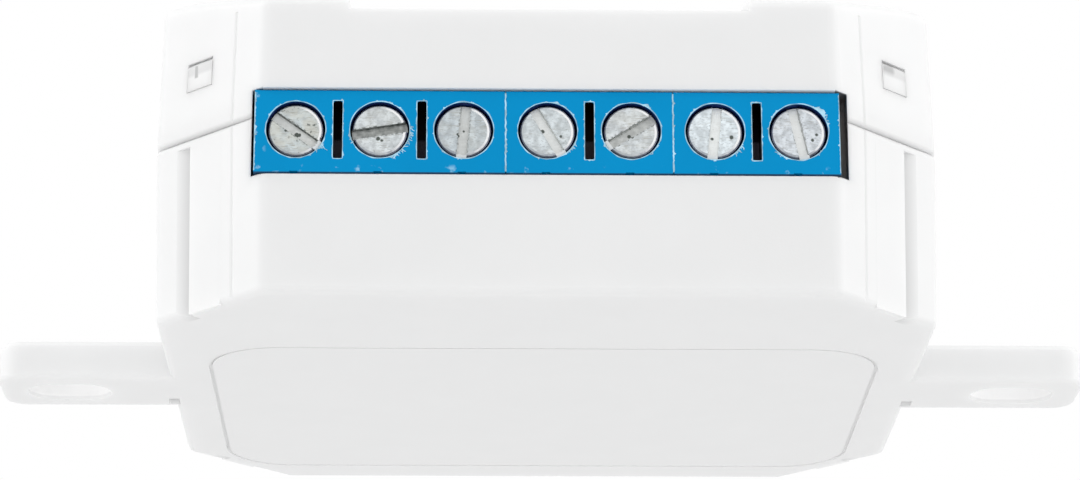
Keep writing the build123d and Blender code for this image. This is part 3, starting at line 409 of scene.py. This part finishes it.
def corner_shade(recipe):
    """The soft shade along the seam, in the groove and over the latch of each corner face."""
    x, y = (recipe.size(recipe.axis(letter)) for letter in "XY")
    z = recipe.axis("Z")
    along = recipe.math("DIVIDE", recipe.minus(recipe.minus(x, y), CORNER_MIDDLE), ROOT_TWO)
    shell = recipe.band(recipe.math("ADD", x, y), SHELL_SUM, SHELL_SUM + 0.1 * MM)
    front, left = (recipe.below(recipe.axis(letter), -MM, MM) for letter in "YX")

    start, end = GROOVE
    groove = recipe.times(recipe.band(along, start - 0.01 * MM, start),
                          recipe.below(z, GROOVE_TOP_Z - 0.2 * MM, GROOVE_TOP_Z),
                          recipe.band(along, start, end, GROOVE_SHADE, 0))
    fade = recipe.times(recipe.band(along, -4.5 * MM, -1.0 * MM, 0.5, 1),
                        recipe.band(along, 2.0 * MM, 4.5 * MM, 1, 0.2))
    seam = recipe.times(recipe.window(z, SEAM_Z - 0.1 * MM, SEAM_Z + 0.1 * MM, 0.25 * MM), fade,
                        SEAM_SHADE)

    on_latch = recipe.times(recipe.window(along, *LATCH_ALONG, 0.02 * MM),
                            recipe.window(z, *LATCH_Z, 0.02 * MM))
    upper = recipe.times(on_latch, recipe.band(z, 15.35 * MM, 15.55 * MM), LATCH_SHADE)
    spot = recipe.times(left, recipe.window(along, 1.2 * MM, 1.4 * MM, 0.1 * MM),
                        recipe.window(z, 15.3 * MM, 16.0 * MM, 0.1 * MM), LATCH_SPOT_SHADE)
    core = recipe.times(on_latch, recipe.minus(1.0, left),
                        recipe.window(along, -0.1 * MM, 0.8 * MM, 0.5 * MM),
                        recipe.window(z, 15.75 * MM, 16.3 * MM, 0.4 * MM), LATCH_CORE_SHADE)
    latch = recipe.times(front, recipe.most(upper, spot, core))
    return recipe.times(shell, recipe.most(groove, seam, latch))


def ear_hole_light(recipe):
    """Where both ear holes' walls get painted light, as from light falling through the holes."""
    x, y = (recipe.size(recipe.axis(letter)) for letter in "XY")
    return recipe.times(recipe.window(x, *EAR_HOLE_X, 0.02 * MM), recipe.below(y, *EAR_HOLE_EDGE_Y),
                        recipe.window(recipe.axis("Z"), *EAR_HOLE_Z, 0.1 * MM))


def strip_gap(recipe, side):
    """The walls of the gap at one end of the terminal strip, which get painted shade."""
    x = recipe.axis("X")
    near, far = sorted((side * STRIP_GAP_X, WINDOW_X[side > 0] + side * 0.01 * MM))
    behind = recipe.minus(recipe.axis("Y"), recipe.minus(recipe.size(x), CORNER_SUM))
    return recipe.times(recipe.window(x, near, far, 0.01 * MM),
                        recipe.window(behind, 0.25 * MM, 4.0 * MM, 0.15 * MM),
                        recipe.window(recipe.axis("Z"), *WINDOW_Z, 0.03 * MM))


def case_white(settings):
    """Satin white, with painted shade at the corners and in the gaps beside the terminal strip, and
    painted light in the ear holes.
    """
    material, shader = new_finish("case_satin_white", 0.42, Subsurface_Weight=0.7,
                                  Subsurface_Scale=settings.depth,
                                  Subsurface_Radius=(1.0, 1.0, 1.0))
    recipe = Recipe(material, shader)
    cloud = recipe.band(recipe.noise(6.0 * MM, 4.0), 0.3, 0.7)
    white = recipe.mix(cloud, shade(settings.white, 0.985), settings.white)
    # Painted shade along the seam, in the groove and over the latch of each corner face
    white = recipe.mix(corner_shade(recipe), white, BLACK)
    # Painted light on the ear holes' walls
    white = recipe.mix(ear_hole_light(recipe), white, HOLE_PAINTED_LIGHT)
    # Painted shade on the walls of the gaps at both ends of the strip
    for side, grey in GAP_SHADES.items():
        white = recipe.mix(strip_gap(recipe, side), white, grey)
    recipe.colour(white)
    rubbed_and_grained(recipe, 0.42, settings.grain)
    return material


class SWITCH_OT_case(bpy.types.Operator):
    """Gives both case shells and the blank label their satin white plastic"""

    bl_idname = "switch.case"
    bl_label = "Case shells"

    def execute(self, context):
        settings = context.scene.switch_case
        dress(case_white(settings), "lower_shell", "upper_cover")
        dress(moulded("label_white", settings.white, 0.46, settings.grain, 0.01), "blank_label")
        return {"FINISHED"}


class SWITCH_OT_button(bpy.types.Operator):
    """Finishes the pairing button and the light pipe beside it"""

    bl_idname = "switch.button"
    bl_label = "Button and light pipe"

    def execute(self, context):
        settings = context.scene.switch_case
        dress(moulded("button_white", shade(settings.white, 0.98), 0.36, settings.grain, 0.02),
              "pairing_button")
        clear = moulded("clear_light_pipe", (0.9, 0.93, 0.94), 0.08, 0.3 * MM, 0.02,
                        Transmission_Weight=0.85, IOR=1.49)
        dress(clear, "light_pipe")
        return {"FINISHED"}


def strip_blue(settings):
    """Terminal blue with painted shade: near black in the bores and dividers, dark along the lower
    edge.
    """
    material, shader = new_finish("terminal_blue", 0.5, Specular_IOR_Level=0.06)
    recipe = Recipe(material, shader)
    end = pole_x(1) - PITCH / 2
    x, y, z = (recipe.axis(letter) for letter in "XYZ")
    across = recipe.math("FLOORED_MODULO", recipe.minus(x, end), PITCH)
    across = recipe.minus(across, PITCH / 2)
    up = recipe.minus(z, SCREW_Z)

    def at_wall(value, place):
        return recipe.below(value, place + 0.02 * MM, place + 0.05 * MM)

    # Where painted shade goes: the walls inside the bores and the dividers
    inside = recipe.window(y, STRIP_FACE_Y + 0.06 * MM, STRIP_FACE_Y + 2.1 * MM, 0.03 * MM)
    bore = at_wall(recipe.distance(across, up), BORE_RADIUS)
    half_width, half_height = DIVIDER_HALF_SIZE
    divider = recipe.times(at_wall(recipe.minus(PITCH / 2, recipe.size(across)), half_width),
                           at_wall(recipe.size(up), half_height))

    cloud = recipe.band(recipe.noise(4.0 * MM, 4.0), 0.3, 0.7)
    blue = recipe.mix(cloud, shade(settings.blue, 0.95), settings.blue)
    low = recipe.below(z, STRIP_LOW_Z + 0.35 * MM, STRIP_LOW_Z + 0.6 * MM)
    left = recipe.below(x, end + 0.4 * MM, end + 0.8 * MM)
    scuffs = recipe.band(recipe.noise(0.7 * MM, 5.0), 0.62, 0.7, 0, 0.5)
    blue = recipe.mix(recipe.times(recipe.most(low, left), scuffs), blue, settings.scuff)
    # Painted shade in a thin band along the strip's lower edge
    edge = recipe.band(z, STRIP_LOW_Z + 0.05 * MM, STRIP_LOW_Z + 0.1 * MM, 0.85, 0)
    blue = recipe.mix(edge, blue, LOWER_EDGE_SHADE)
    # Painted shade: the bores' walls near black, the dividers near black above and dark grey-blue
    # below
    blue = recipe.mix(recipe.times(inside, bore), blue, settings.well_shade)
    dark = recipe.mix(recipe.band(up, -0.1 * MM, 0.05 * MM), *DIVIDER_SHADES)
    recipe.colour(recipe.mix(recipe.times(inside, divider), blue, dark))
    recipe.roughness(recipe.band(recipe.noise(1.2 * MM, 4.0), 0.3, 0.7, 0.42, 0.58))
    recipe.bump(recipe.noise(0.15 * MM, 3.0), 0.008 * MM)
    return material


def mould_flash(settings):
    """Thin blue plastic, rubbed pale in places."""
    material, shader = new_finish("mould_flash", 0.5, Specular_IOR_Level=0.2)
    recipe = Recipe(material, shader)
    rubbed = recipe.band(recipe.noise(0.6 * MM, 4.0), 0.4, 0.6)
    recipe.colour(recipe.mix(rubbed, shade(settings.scuff, 0.62), settings.scuff))
    recipe.bump(recipe.noise(0.1 * MM, 3.0), 0.01 * MM)
    return material


def ribbon(shape, points, outward, widths, closed):
    """A thin solid sliver on the strip's face along points, as wide as widths outwards."""
    rings = []
    for (x, z), (out_x, out_z), width in zip(points, outward, widths):
        ring = []
        for reach, rise in ((0.0, -1.0), (0.0, 1.0), (width, 0.7), (width, -1.0)):
            place = (x + reach * out_x, STRIP_FACE_Y - rise * FLASH_LIFT, z + reach * out_z)
            ring.append(shape.verts.new(place))
        rings.append(ring)
    skin(shape, rings, closed)


def wavering(draw, count, narrow, wide, closed, flaps=()):
    """Widths that swell and shrink along a sliver, with short spikes and the given flaps."""
    turn = 2 * math.pi
    waves = [(draw.randint(3, 19), draw.uniform(0, turn), draw.uniform(0.1, 0.8)) for _ in range(6)]
    bursts = [(draw.random(), draw.uniform(0.002, 0.006), draw.uniform(0.3, 1.6)) for _ in range(7)]
    bursts.extend(flaps)
    widths = []
    for step in range(count):
        share = step / (count if closed else count - 1)
        wave = sum(size * math.sin(cycles * turn * share + start) for cycles, start, size in waves)
        level = 0.5 + 0.22 * wave
        for place, spread, size in bursts:
            level += size * math.exp(-((share - place) / spread) ** 2)
        widths.append(narrow + (wide - narrow) * max(0.0, level))
    return widths


def whisker(shape, start, heading, length, draw):
    """A jagged thread of flash that wanders over the strip's face and tapers off."""
    steps = 8
    x, z = start
    points, outward, widths = [], [], []
    for step in range(steps):
        points.append((x, z))
        outward.append((-math.sin(heading), math.cos(heading)))
        widths.append(draw.uniform(0.04 * MM, 0.09 * MM) * (1 - 0.6 * step / steps))
        heading += draw.uniform(-0.35, 0.35)
        x += length / steps * math.cos(heading)
        z += length / steps * math.sin(heading)
    ribbon(shape, points, outward, widths, False)


class SWITCH_OT_strip(bpy.types.Operator):
    """Finishes the blue terminal blocks and adds their thin mould flash"""

    bl_idname = "switch.strip"
    bl_label = "Terminal strip"

    def execute(self, context):
        settings = context.scene.switch_strip
        dress(strip_blue(settings), "terminal_block_left", "terminal_block_middle",
              "terminal_block_right")
        flash = mould_flash(settings)
        for number in POLES:
            self.piece(f"mould_flash_{number}", flash, self.round_bore, number, settings)
        for number in POLES[:-1]:
            if number in SEAMS_AFTER:
                self.piece(f"seam_flash_{number}", flash, self.along_seam, number, settings)
            else:
                self.piece(f"divider_flash_{number}", flash, self.round_divider, number, settings)
        self.piece("end_flash_left", flash, self.along_end, -1, settings)
        self.piece("end_flash_right", flash, self.along_end, 1, settings)
        return {"FINISHED"}

    def piece(self, name, material, draw_shape, number, settings):
        shape = bmesh.new()
        draw_shape(shape, number, settings, random.Random(name))
        finish_object(name, finish_mesh(name, shape), material, "housing")

    def round_bore(self, shape, number, settings, draw):
        steps = 260
        middle = pole_x(number)
        angles = [2 * math.pi * step / steps for step in range(steps)]
        outward = [(math.cos(angle), math.sin(angle)) for angle in angles]
        points = [(middle + BORE_RADIUS * x, SCREW_Z + BORE_RADIUS * z) for x, z in outward]
        flaps = FLAPS.get(number, ())
        widths = wavering(draw, steps, FLASH_NARROW, 2 * settings.flash_width, True, flaps)
        ribbon(shape, points, outward, widths, True)
        for low, high, count, length in WHISKERS[number]:
            for _ in range(count):
                angle = math.radians(draw.uniform(low, high))
                reach = BORE_RADIUS + draw.uniform(0.01 * MM, 0.25 * length * MM)
                start = (middle + reach * math.cos(angle), SCREW_Z + reach * math.sin(angle))
                heading = angle + draw.uniform(-1.1, 1.1)
                whisker(shape, start, heading, length * MM * draw.uniform(0.5, 1.2), draw)

    def round_divider(self, shape, number, settings, draw):
        half_x, half_z = DIVIDER_HALF_SIZE
        middle = pole_x(number) + PITCH / 2
        points, outward = [], []
        corners = ((1, -1), (1, 1), (-1, 1), (-1, -1))
        for corner, first in enumerate(corners):
            second = corners[(corner + 1) % 4]
            steps = 10 if corner % 2 else 70
            for step in range(steps):
                share = step / steps
                x = first[0] + (second[0] - first[0]) * share
                z = first[1] + (second[1] - first[1]) * share
                points.append((middle + x * half_x, SCREW_Z + z * half_z))
                away = Vector((x if abs(x) == 1 else 0, z if abs(z) == 1 else 0)).normalized()
                outward.append((away.x, away.y))
        widths = wavering(draw, len(points), FLASH_NARROW, 1.8 * settings.flash_width, True)
        ribbon(shape, points, outward, widths, True)

    def levels(self, steps):
        """Heights from just above the strip's lower edge to just below its upper one."""
        low, high = STRIP_LOW_Z + 0.15 * MM, STRIP_HIGH_Z - 0.15 * MM
        return [low + (high - low) * step / (steps - 1) for step in range(steps)]

    def along_seam(self, shape, number, settings, draw):
        steps = 60
        start = pole_x(number) + PITCH / 2 - 0.07 * MM
        sway = wavering(draw, steps, 0.0, 0.04 * MM, False)
        points = [(start + aside, level) for aside, level in zip(sway, self.levels(steps))]
        uneven = wavering(draw, steps, 0.0, 1.4 * settings.flash_width, False)
        widths = [0.06 * MM + width for width in uneven]
        ribbon(shape, points, [(1, 0)] * steps, widths, False)

    def along_end(self, shape, side, settings, draw):
        steps = 60
        end = pole_x(4 + 3 * side) + side * (PITCH / 2 - 0.03 * MM)
        points = [(end, level) for level in self.levels(steps)]
        wide = (2.1 - 0.5 * side) * settings.flash_width
        widths = wavering(draw, steps, FLASH_NARROW, wide, False)
        ribbon(shape, points, [(-side, 0)] * steps, widths, False)


def head_plate(recipe, number, settings, turn):
    """The plating of one head: dull patches, fine marks, a warm cast and brown streaks."""
    warmth = GRIME_AND_SHADE[number][-1]
    zinc = [part * share for part, share in zip(settings.zinc, TINT[number])]
    patches = recipe.band(recipe.noise(0.4 * MM, 6.0), 0.4, 0.62)
    plate = recipe.mix(patches, shade(zinc, 0.74), shade(zinc, 1.04))
    marks = recipe.noise(0.22 * MM, 6.0, stretch=(1, 1, 2.5), turn=(0, 0.8 - turn, 0))
    plate = recipe.mix(recipe.band(marks, 0.56, 0.63, 0, 0.55), plate, shade(zinc, 0.5))
    warm = recipe.band(recipe.noise(0.9 * MM, 3.0), 0.4, 0.6, 0.25 * warmth, warmth)
    plate = recipe.mix(warm, plate, WARM_ZINC)
    scratches = recipe.noise(0.6 * MM, 4.0, stretch=(1, 6, 9), turn=(0, -turn, 0))
    streaks = recipe.band(scratches, 0.58, 0.65, 0, min(1.0, 0.3 + 0.6 * warmth))
    return recipe.mix(streaks, plate, BROWN_STREAK), scratches


def head_dirt_and_shade(recipe, number, slot, from_slot, across, up):
    """Grime on the slot's floor and edges, painted shade with grime on its upper wall, specks over
    the head, and the pits.
    """
    floor_grime, wall_shade_and_grime, edge_grime, stain, _ = GRIME_AND_SHADE[number]
    dirt = recipe.band(recipe.noise(0.35 * MM, 5.0), 0.3, 0.6, 0.6, 1.0)
    at_wall = recipe.band(from_slot, SLOT_HALF_WIDTH - 0.06 * MM, SLOT_HALF_WIDTH - 0.03 * MM)
    floor = recipe.times(slot, dirt, floor_grime)
    # Painted shade with grime on the slot's upper wall, which faces down
    wall = recipe.times(slot, at_wall, dirt, wall_shade_and_grime)
    near_slot = recipe.window(recipe.size(from_slot), SLOT_HALF_WIDTH - 0.05 * MM,
                              SLOT_HALF_WIDTH + 0.04 * MM, 0.04 * MM)
    crumbs = recipe.band(recipe.noise(0.16 * MM, 5.0), 0.5, 0.6, 0, edge_grime)
    specks = recipe.band(recipe.noise(0.28 * MM, 4.0), 0.62, 0.7, 0, stain)
    dirt_and_shade = recipe.most(floor, wall, specks, recipe.times(near_slot, crumbs))
    for x, z, size in PITS[number]:
        away = recipe.distance(recipe.minus(across, x * MM), recipe.minus(up, z * MM))
        ragged = recipe.math("MULTIPLY_ADD", recipe.noise(0.12 * MM, 3.0), 0.08 * MM, away)
        dirt_and_shade = recipe.most(dirt_and_shade, recipe.below(ragged, size * MM, (size + 0.05) * MM))
    return dirt_and_shade


def screw_zinc(number, settings):
    """Pale zinc with scratches, pits, dull stains and grime in and along the slot; painted light in
    the slot, and a painted highlight, shade and reflection round the head.
    """
    material, shader = new_finish(f"screw_zinc_{number}", 0.4, metallic=0.5)
    recipe = Recipe(material, shader)
    turn = math.radians(SLOT_ANGLES[number])
    across = recipe.minus(recipe.axis("X"), pole_x(number))
    up = recipe.minus(recipe.axis("Z"), SCREW_Z)
    deep = recipe.minus(recipe.axis("Y"), HEAD_FRONT_Y)
    radius = recipe.distance(across, up)
    from_slot = recipe.minus(recipe.times(up, math.cos(turn)), recipe.times(across, math.sin(turn)))
    in_slot = recipe.below(recipe.size(from_slot), SLOT_HALF_WIDTH, SLOT_HALF_WIDTH + 0.02 * MM)
    slot = recipe.times(recipe.band(deep, 0.03 * MM, 0.08 * MM), in_slot)

    plate, scratches = head_plate(recipe, number, settings, turn)
    # Painted light on the slot's floor and walls, lifting their shadow
    plate = recipe.mix(recipe.times(slot, 0.8), plate, SLOT_PAINTED_LIGHT)
    rim = recipe.window(radius, HEAD_RADIUS - 0.26 * MM, HEAD_RADIUS - 0.08 * MM, 0.03 * MM)
    # Painted highlight on the right side of the head's rim
    bright = recipe.times(rim, recipe.band(across, 0.0, 0.8 * MM))
    plate = recipe.mix(bright, plate, RIM_HIGHLIGHT)
    # Painted shade, uneven, on the lower side of the head's rim
    patchy = recipe.band(recipe.noise(0.4 * MM, 3.0), 0.4, 0.6, 0.3, 0.85)
    dull = recipe.times(rim, patchy, recipe.below(up, -1.3 * MM, -0.6 * MM))
    plate = recipe.mix(dull, plate, RIM_LOWER_SHADE)
    # Painted shade and a painted reflection of the blue bore on the head's side and outer rim
    side = recipe.most(recipe.band(deep, 0.1 * MM, 0.16 * MM),
                       recipe.band(radius, HEAD_RADIUS - 0.08 * MM, HEAD_RADIUS - 0.05 * MM))
    plate = recipe.mix(recipe.times(side, recipe.minus(1.0, in_slot)), plate, HEAD_SHADE_AND_REFLECTION)
    dirt_and_shade = head_dirt_and_shade(recipe, number, slot, from_slot, across, up)
    recipe.colour(recipe.mix(dirt_and_shade, plate, settings.grime))
    recipe.roughness(recipe.band(scratches, 0.3, 0.7, 0.3, 0.56))
    recipe.bump(scratches, 0.015 * MM, 0.5)
    return material


class SWITCH_OT_screws(bpy.types.Operator):
    """Finishes the slotted terminal screws and adds the burrs at their slots' lower ends"""

    bl_idname = "switch.screws"
    bl_label = "Terminal screws"

    def execute(self, context):
        settings = context.scene.switch_metal
        for number in POLES:
            dress(screw_zinc(number, settings), f"terminal_screw_{number}")
        burr = moulded("slot_burr", (0.88, 0.91, 0.91), 0.45, 0.1 * MM, 0.2)
        for number in BURRED:
            self.burr(number, burr)
        return {"FINISHED"}

    def burr(self, number, material):
        """Metal pushed out at the slot's lower end, just inside the bore."""
        name = f"slot_burr_{number}"
        draw = random.Random(name)
        turn = math.radians(SLOT_ANGLES[number])
        if math.sin(turn) > 0:
            turn += math.pi
        along = Vector((math.cos(turn), math.sin(turn)))
        aside = Vector((-math.sin(turn), math.cos(turn)))
        steps = 14
        shape = bmesh.new()
        rings = []
        for step in range(steps + 1):
            side = SLOT_HALF_WIDTH * (2 * step / steps - 1)
            limit = math.sqrt((BORE_RADIUS - 0.03 * MM) ** 2 - side ** 2)
            outer = limit - draw.uniform(0.0, 0.05 * MM)
            inner = limit - draw.uniform(0.22 * MM, 0.3 * MM)
            front, back = BURR_DEPTHS
            ring = []
            for reach, depth in ((inner, front), (inner, back), (outer, back), (outer, front)):
                spot = along * reach + aside * side
                place = (pole_x(number) + spot.x, HEAD_FRONT_Y + depth, SCREW_Z + spot.y)
                ring.append(shape.verts.new(place))
            rings.append(ring)
        skin(shape, rings, False)
        finish_object(name, finish_mesh(name, shape), material, f"screw_{number}")


class SWITCH_OT_clamps(bpy.types.Operator):
    """Finishes the clamp cages and the contact bars behind the screws"""

    bl_idname = "switch.clamps"
    bl_label = "Clamps and contacts"

    def execute(self, context):
        zinc = context.scene.switch_metal.zinc
        dress(plated("clamp_zinc", shade(zinc, 0.92), 0.4), *[f"clamp_cage_{n}" for n in POLES])
        tinned = plated("tinned_brass", (0.72, 0.68, 0.55), 0.32)
        dress(tinned, "header_pins", "antenna", "relay_1_pins", "relay_2_pins",
              *[f"terminal_contacts_{side}" for side in ("left", "middle", "right")])
        return {"FINISHED"}


class SWITCH_OT_relays(bpy.types.Operator):
    """Finishes both relays inside and out"""

    bl_idname = "switch.relays"
    bl_label = "Relays"

    def execute(self, context):
        black = moulded("relay_black", (0.022, 0.022, 0.025), 0.45, 0.15 * MM, 0.2)
        iron = plated("magnet_iron", (0.52, 0.52, 0.52), 0.36)
        bronze = plated("spring_bronze", (0.72, 0.48, 0.27), 0.3)
        copper, shader = new_finish("coil_copper", 0.34, metallic=0.9)
        recipe = Recipe(copper, shader)
        turns = recipe.add("ShaderNodeTexWave", bands_direction="Y")
        turns.inputs["Scale"].default_value = 1900
        turns.inputs["Distortion"].default_value = 0.4
        recipe.link(recipe.place, turns.inputs["Vector"])
        recipe.colour(recipe.mix(turns.outputs["Fac"], (0.3, 0.1, 0.035), (0.7, 0.3, 0.12)))
        recipe.bump(turns.outputs["Fac"], 0.04 * MM)
        for number in (1, 2):
            dress(black, f"relay_{number}_case", f"relay_{number}_base")
            dress(iron, f"relay_{number}_yoke", f"relay_{number}_armature")
            dress(copper, f"relay_{number}_coil")
            dress(bronze, f"relay_{number}_contact_spring", f"relay_{number}_fixed_contacts")
        return {"FINISHED"}


class SWITCH_OT_boards(bpy.types.Operator):
    """Finishes the main board, the radio board and the small parts on them"""

    bl_idname = "switch.boards"
    bl_label = "Boards"

    def execute(self, context):
        mask, shader = new_finish("solder_mask", 0.3, Coat_Weight=0.3)
        recipe = Recipe(mask, shader)
        tracks = recipe.add("ShaderNodeTexVoronoi", feature="DISTANCE_TO_EDGE")
        tracks.inputs["Scale"].default_value = 420
        recipe.link(recipe.place, tracks.inputs["Vector"])
        lines = recipe.band(tracks.outputs["Distance"], 0.04, 0.08, 1, 0)
        recipe.colour(recipe.mix(lines, (0.012, 0.13, 0.055), (0.03, 0.24, 0.1)))
        recipe.bump(lines, 0.03 * MM)
        dress(mask, "main_board", "radio_board")
        dress(moulded("chip_epoxy", (0.018, 0.018, 0.02), 0.5, 0.1 * MM, 0.3),
              "chip_parts", "radio_chip", "switch_body")
        dress(moulded("plunger_black", (0.03, 0.03, 0.03), 0.35, 0.1 * MM, 0.2), "switch_plunger")
        dress(plated("shield_tin", (0.74, 0.74, 0.74), 0.3), "shield_can", "crystal")
        dress(moulded("lamp_resin", (0.85, 0.84, 0.74), 0.25, 0.1 * MM, 0.05), "status_led")
        return {"FINISHED"}


class SWITCH_OT_supply(bpy.types.Operator):
    """Finishes the transformer, capacitors, varistor and fuse"""

    bl_idname = "switch.supply"
    bl_label = "Power supply"

    def execute(self, context):
        dress(moulded("bobbin_black", (0.04, 0.04, 0.04), 0.45, 0.15 * MM, 0.2),
              "transformer_bobbin")
        dress(moulded("ferrite", (0.05, 0.05, 0.055), 0.62, 0.2 * MM, 0.35), "transformer_core")
        dress(moulded("winding_tape", (0.78, 0.56, 0.06), 0.3, 0.4 * MM, 0.12),
              "transformer_winding")
        dress(moulded("can_sleeve", (0.03, 0.03, 0.05), 0.25, 0.3 * MM, 0.2),
              "bulk_capacitor", "output_capacitor")
        dress(moulded("dipped_blue", (0.03, 0.12, 0.36), 0.28, 0.4 * MM, 0.2), "varistor")
        dress(moulded("fuse_sleeve", (0.2, 0.09, 0.035), 0.3, 0.3 * MM, 0.2), "fuse")
        return {"FINISHED"}


# The stage


EYE = Vector((-5.562, -231.231, -66.268)) * MM
SIGHT = Vector((0.02373, 0.9488, 0.31499))
CAMERA_RIGHT = Vector((0.99971, -0.02402, -0.00295))
SHIFT = (-0.00443, 0.00106)


class SWITCH_OT_stage(bpy.types.Operator):
    """Sets the pale floor, the soft lights, the white surround and the camera"""

    bl_idname = "switch.stage"
    bl_label = "Stage"

    def execute(self, context):
        settings = context.scene.switch_stage
        context.scene.view_settings.view_transform = "Standard"
        self.floor(settings)
        self.surround(context.scene, settings)
        for side in (-1, 1):
            self.side_light(side, settings)
        self.camera(context.scene, settings)
        return {"FINISHED"}

    def floor(self, settings):
        shape = bmesh.new()
        bmesh.ops.create_grid(shape, x_segments=8, y_segments=8, size=3.0)
        mesh = bpy.data.meshes.new("floor")
        shape.to_mesh(mesh)
        shape.free()
        floor = bpy.data.objects.new("floor", mesh)
        floor.location.z = settings.floor_height
        bpy.context.scene.collection.objects.link(floor)
        mesh.materials.append(moulded("floor_paper", (0.81, 0.81, 0.81), 0.7, 2 * MM, 0.01))

    def surround(self, scene, settings):
        world = bpy.data.worlds.new("studio")
        scene.world = world
        world.use_nodes = True
        nodes, links = world.node_tree.nodes, world.node_tree.links
        light = nodes["Background"]
        light.inputs["Color"].default_value = (1, 1, 1, 1)
        light.inputs["Strength"].default_value = settings.ambient
        white = nodes.new("ShaderNodeBackground")
        white.inputs["Color"].default_value = (1, 1, 1, 1)
        white.inputs["Strength"].default_value = 1.0
        path = nodes.new("ShaderNodeLightPath")
        seen = None
        for ray in ("Is Camera Ray", "Is Glossy Ray", "Is Transmission Ray"):
            if seen is None:
                seen = path.outputs[ray]
                continue
            either = nodes.new("ShaderNodeMath")
            either.operation = "MAXIMUM"
            links.new(seen, either.inputs[0])
            links.new(path.outputs[ray], either.inputs[1])
            seen = either.outputs[0]
        mix = nodes.new("ShaderNodeMixShader")
        links.new(seen, mix.inputs[0])
        links.new(light.outputs[0], mix.inputs[1])
        links.new(white.outputs[0], mix.inputs[2])
        links.new(mix.outputs[0], nodes["World Output"].inputs["Surface"])

    def side_light(self, side, settings):
        lamp = bpy.data.lights.new("side_light", "AREA")
        lamp.shape = "RECTANGLE"
        lamp.size = 0.5
        lamp.size_y = 0.5
        lamp.energy = settings.side_power
        light = bpy.data.objects.new("side_light", lamp)
        light.location = (side * 0.66, -0.06, 0.38)
        light.rotation_euler = (-light.location).to_track_quat("-Z", "Y").to_euler()
        bpy.context.scene.collection.objects.link(light)

    def camera(self, scene, settings):
        lens = bpy.data.cameras.new("camera")
        lens.sensor_fit = "HORIZONTAL"
        lens.sensor_width = 36
        lens.lens = settings.lens
        lens.shift_x, lens.shift_y = SHIFT
        lens.clip_start = 0.01
        camera = bpy.data.objects.new("camera", lens)
        back = -SIGHT.normalized()
        right = (CAMERA_RIGHT - CAMERA_RIGHT.dot(back) * back).normalized()
        turn = Matrix((right, back.cross(right), back)).transposed()
        camera.matrix_world = Matrix.Translation(EYE) @ turn.to_4x4()
        scene.collection.objects.link(camera)
        scene.camera = camera


OPERATORS = (
    SWITCH_OT_case,
    SWITCH_OT_button,
    SWITCH_OT_strip,
    SWITCH_OT_screws,
    SWITCH_OT_clamps,
    SWITCH_OT_relays,
    SWITCH_OT_boards,
    SWITCH_OT_supply,
    SWITCH_OT_stage,
)
SETTINGS = {
    "switch_case": CaseSettings,
    "switch_strip": StripSettings,
    "switch_metal": MetalSettings,
    "switch_stage": StageSettings,
}


class SWITCH_PT_panel(bpy.types.Panel):
    """Lists the pieces and their settings in the sidebar"""

    bl_idname = "SWITCH_PT_panel"
    bl_label = "In-wall switch"
    bl_space_type = "VIEW_3D"
    bl_region_type = "UI"
    bl_category = "In-wall switch"

    def draw(self, context):
        for name, group in SETTINGS.items():
            box = self.layout.box()
            for setting in group.__annotations__:
                box.prop(getattr(context.scene, name), setting)
        for operator in OPERATORS:
            self.layout.operator(operator.bl_idname)


def register():
    for kind in (*SETTINGS.values(), *OPERATORS, SWITCH_PT_panel):
        bpy.utils.register_class(kind)
    for name, group in SETTINGS.items():
        setattr(bpy.types.Scene, name, bpy.props.PointerProperty(type=group))


def unregister():
    for name in SETTINGS:
        delattr(bpy.types.Scene, name)
    for kind in reversed((*SETTINGS.values(), *OPERATORS, SWITCH_PT_panel)):
        bpy.utils.unregister_class(kind)


def main():
    register()
    for operator in OPERATORS:
        group, name = operator.bl_idname.split(".")
        getattr(getattr(bpy.ops, group), name)()


if __name__ == "__main__":
    main()
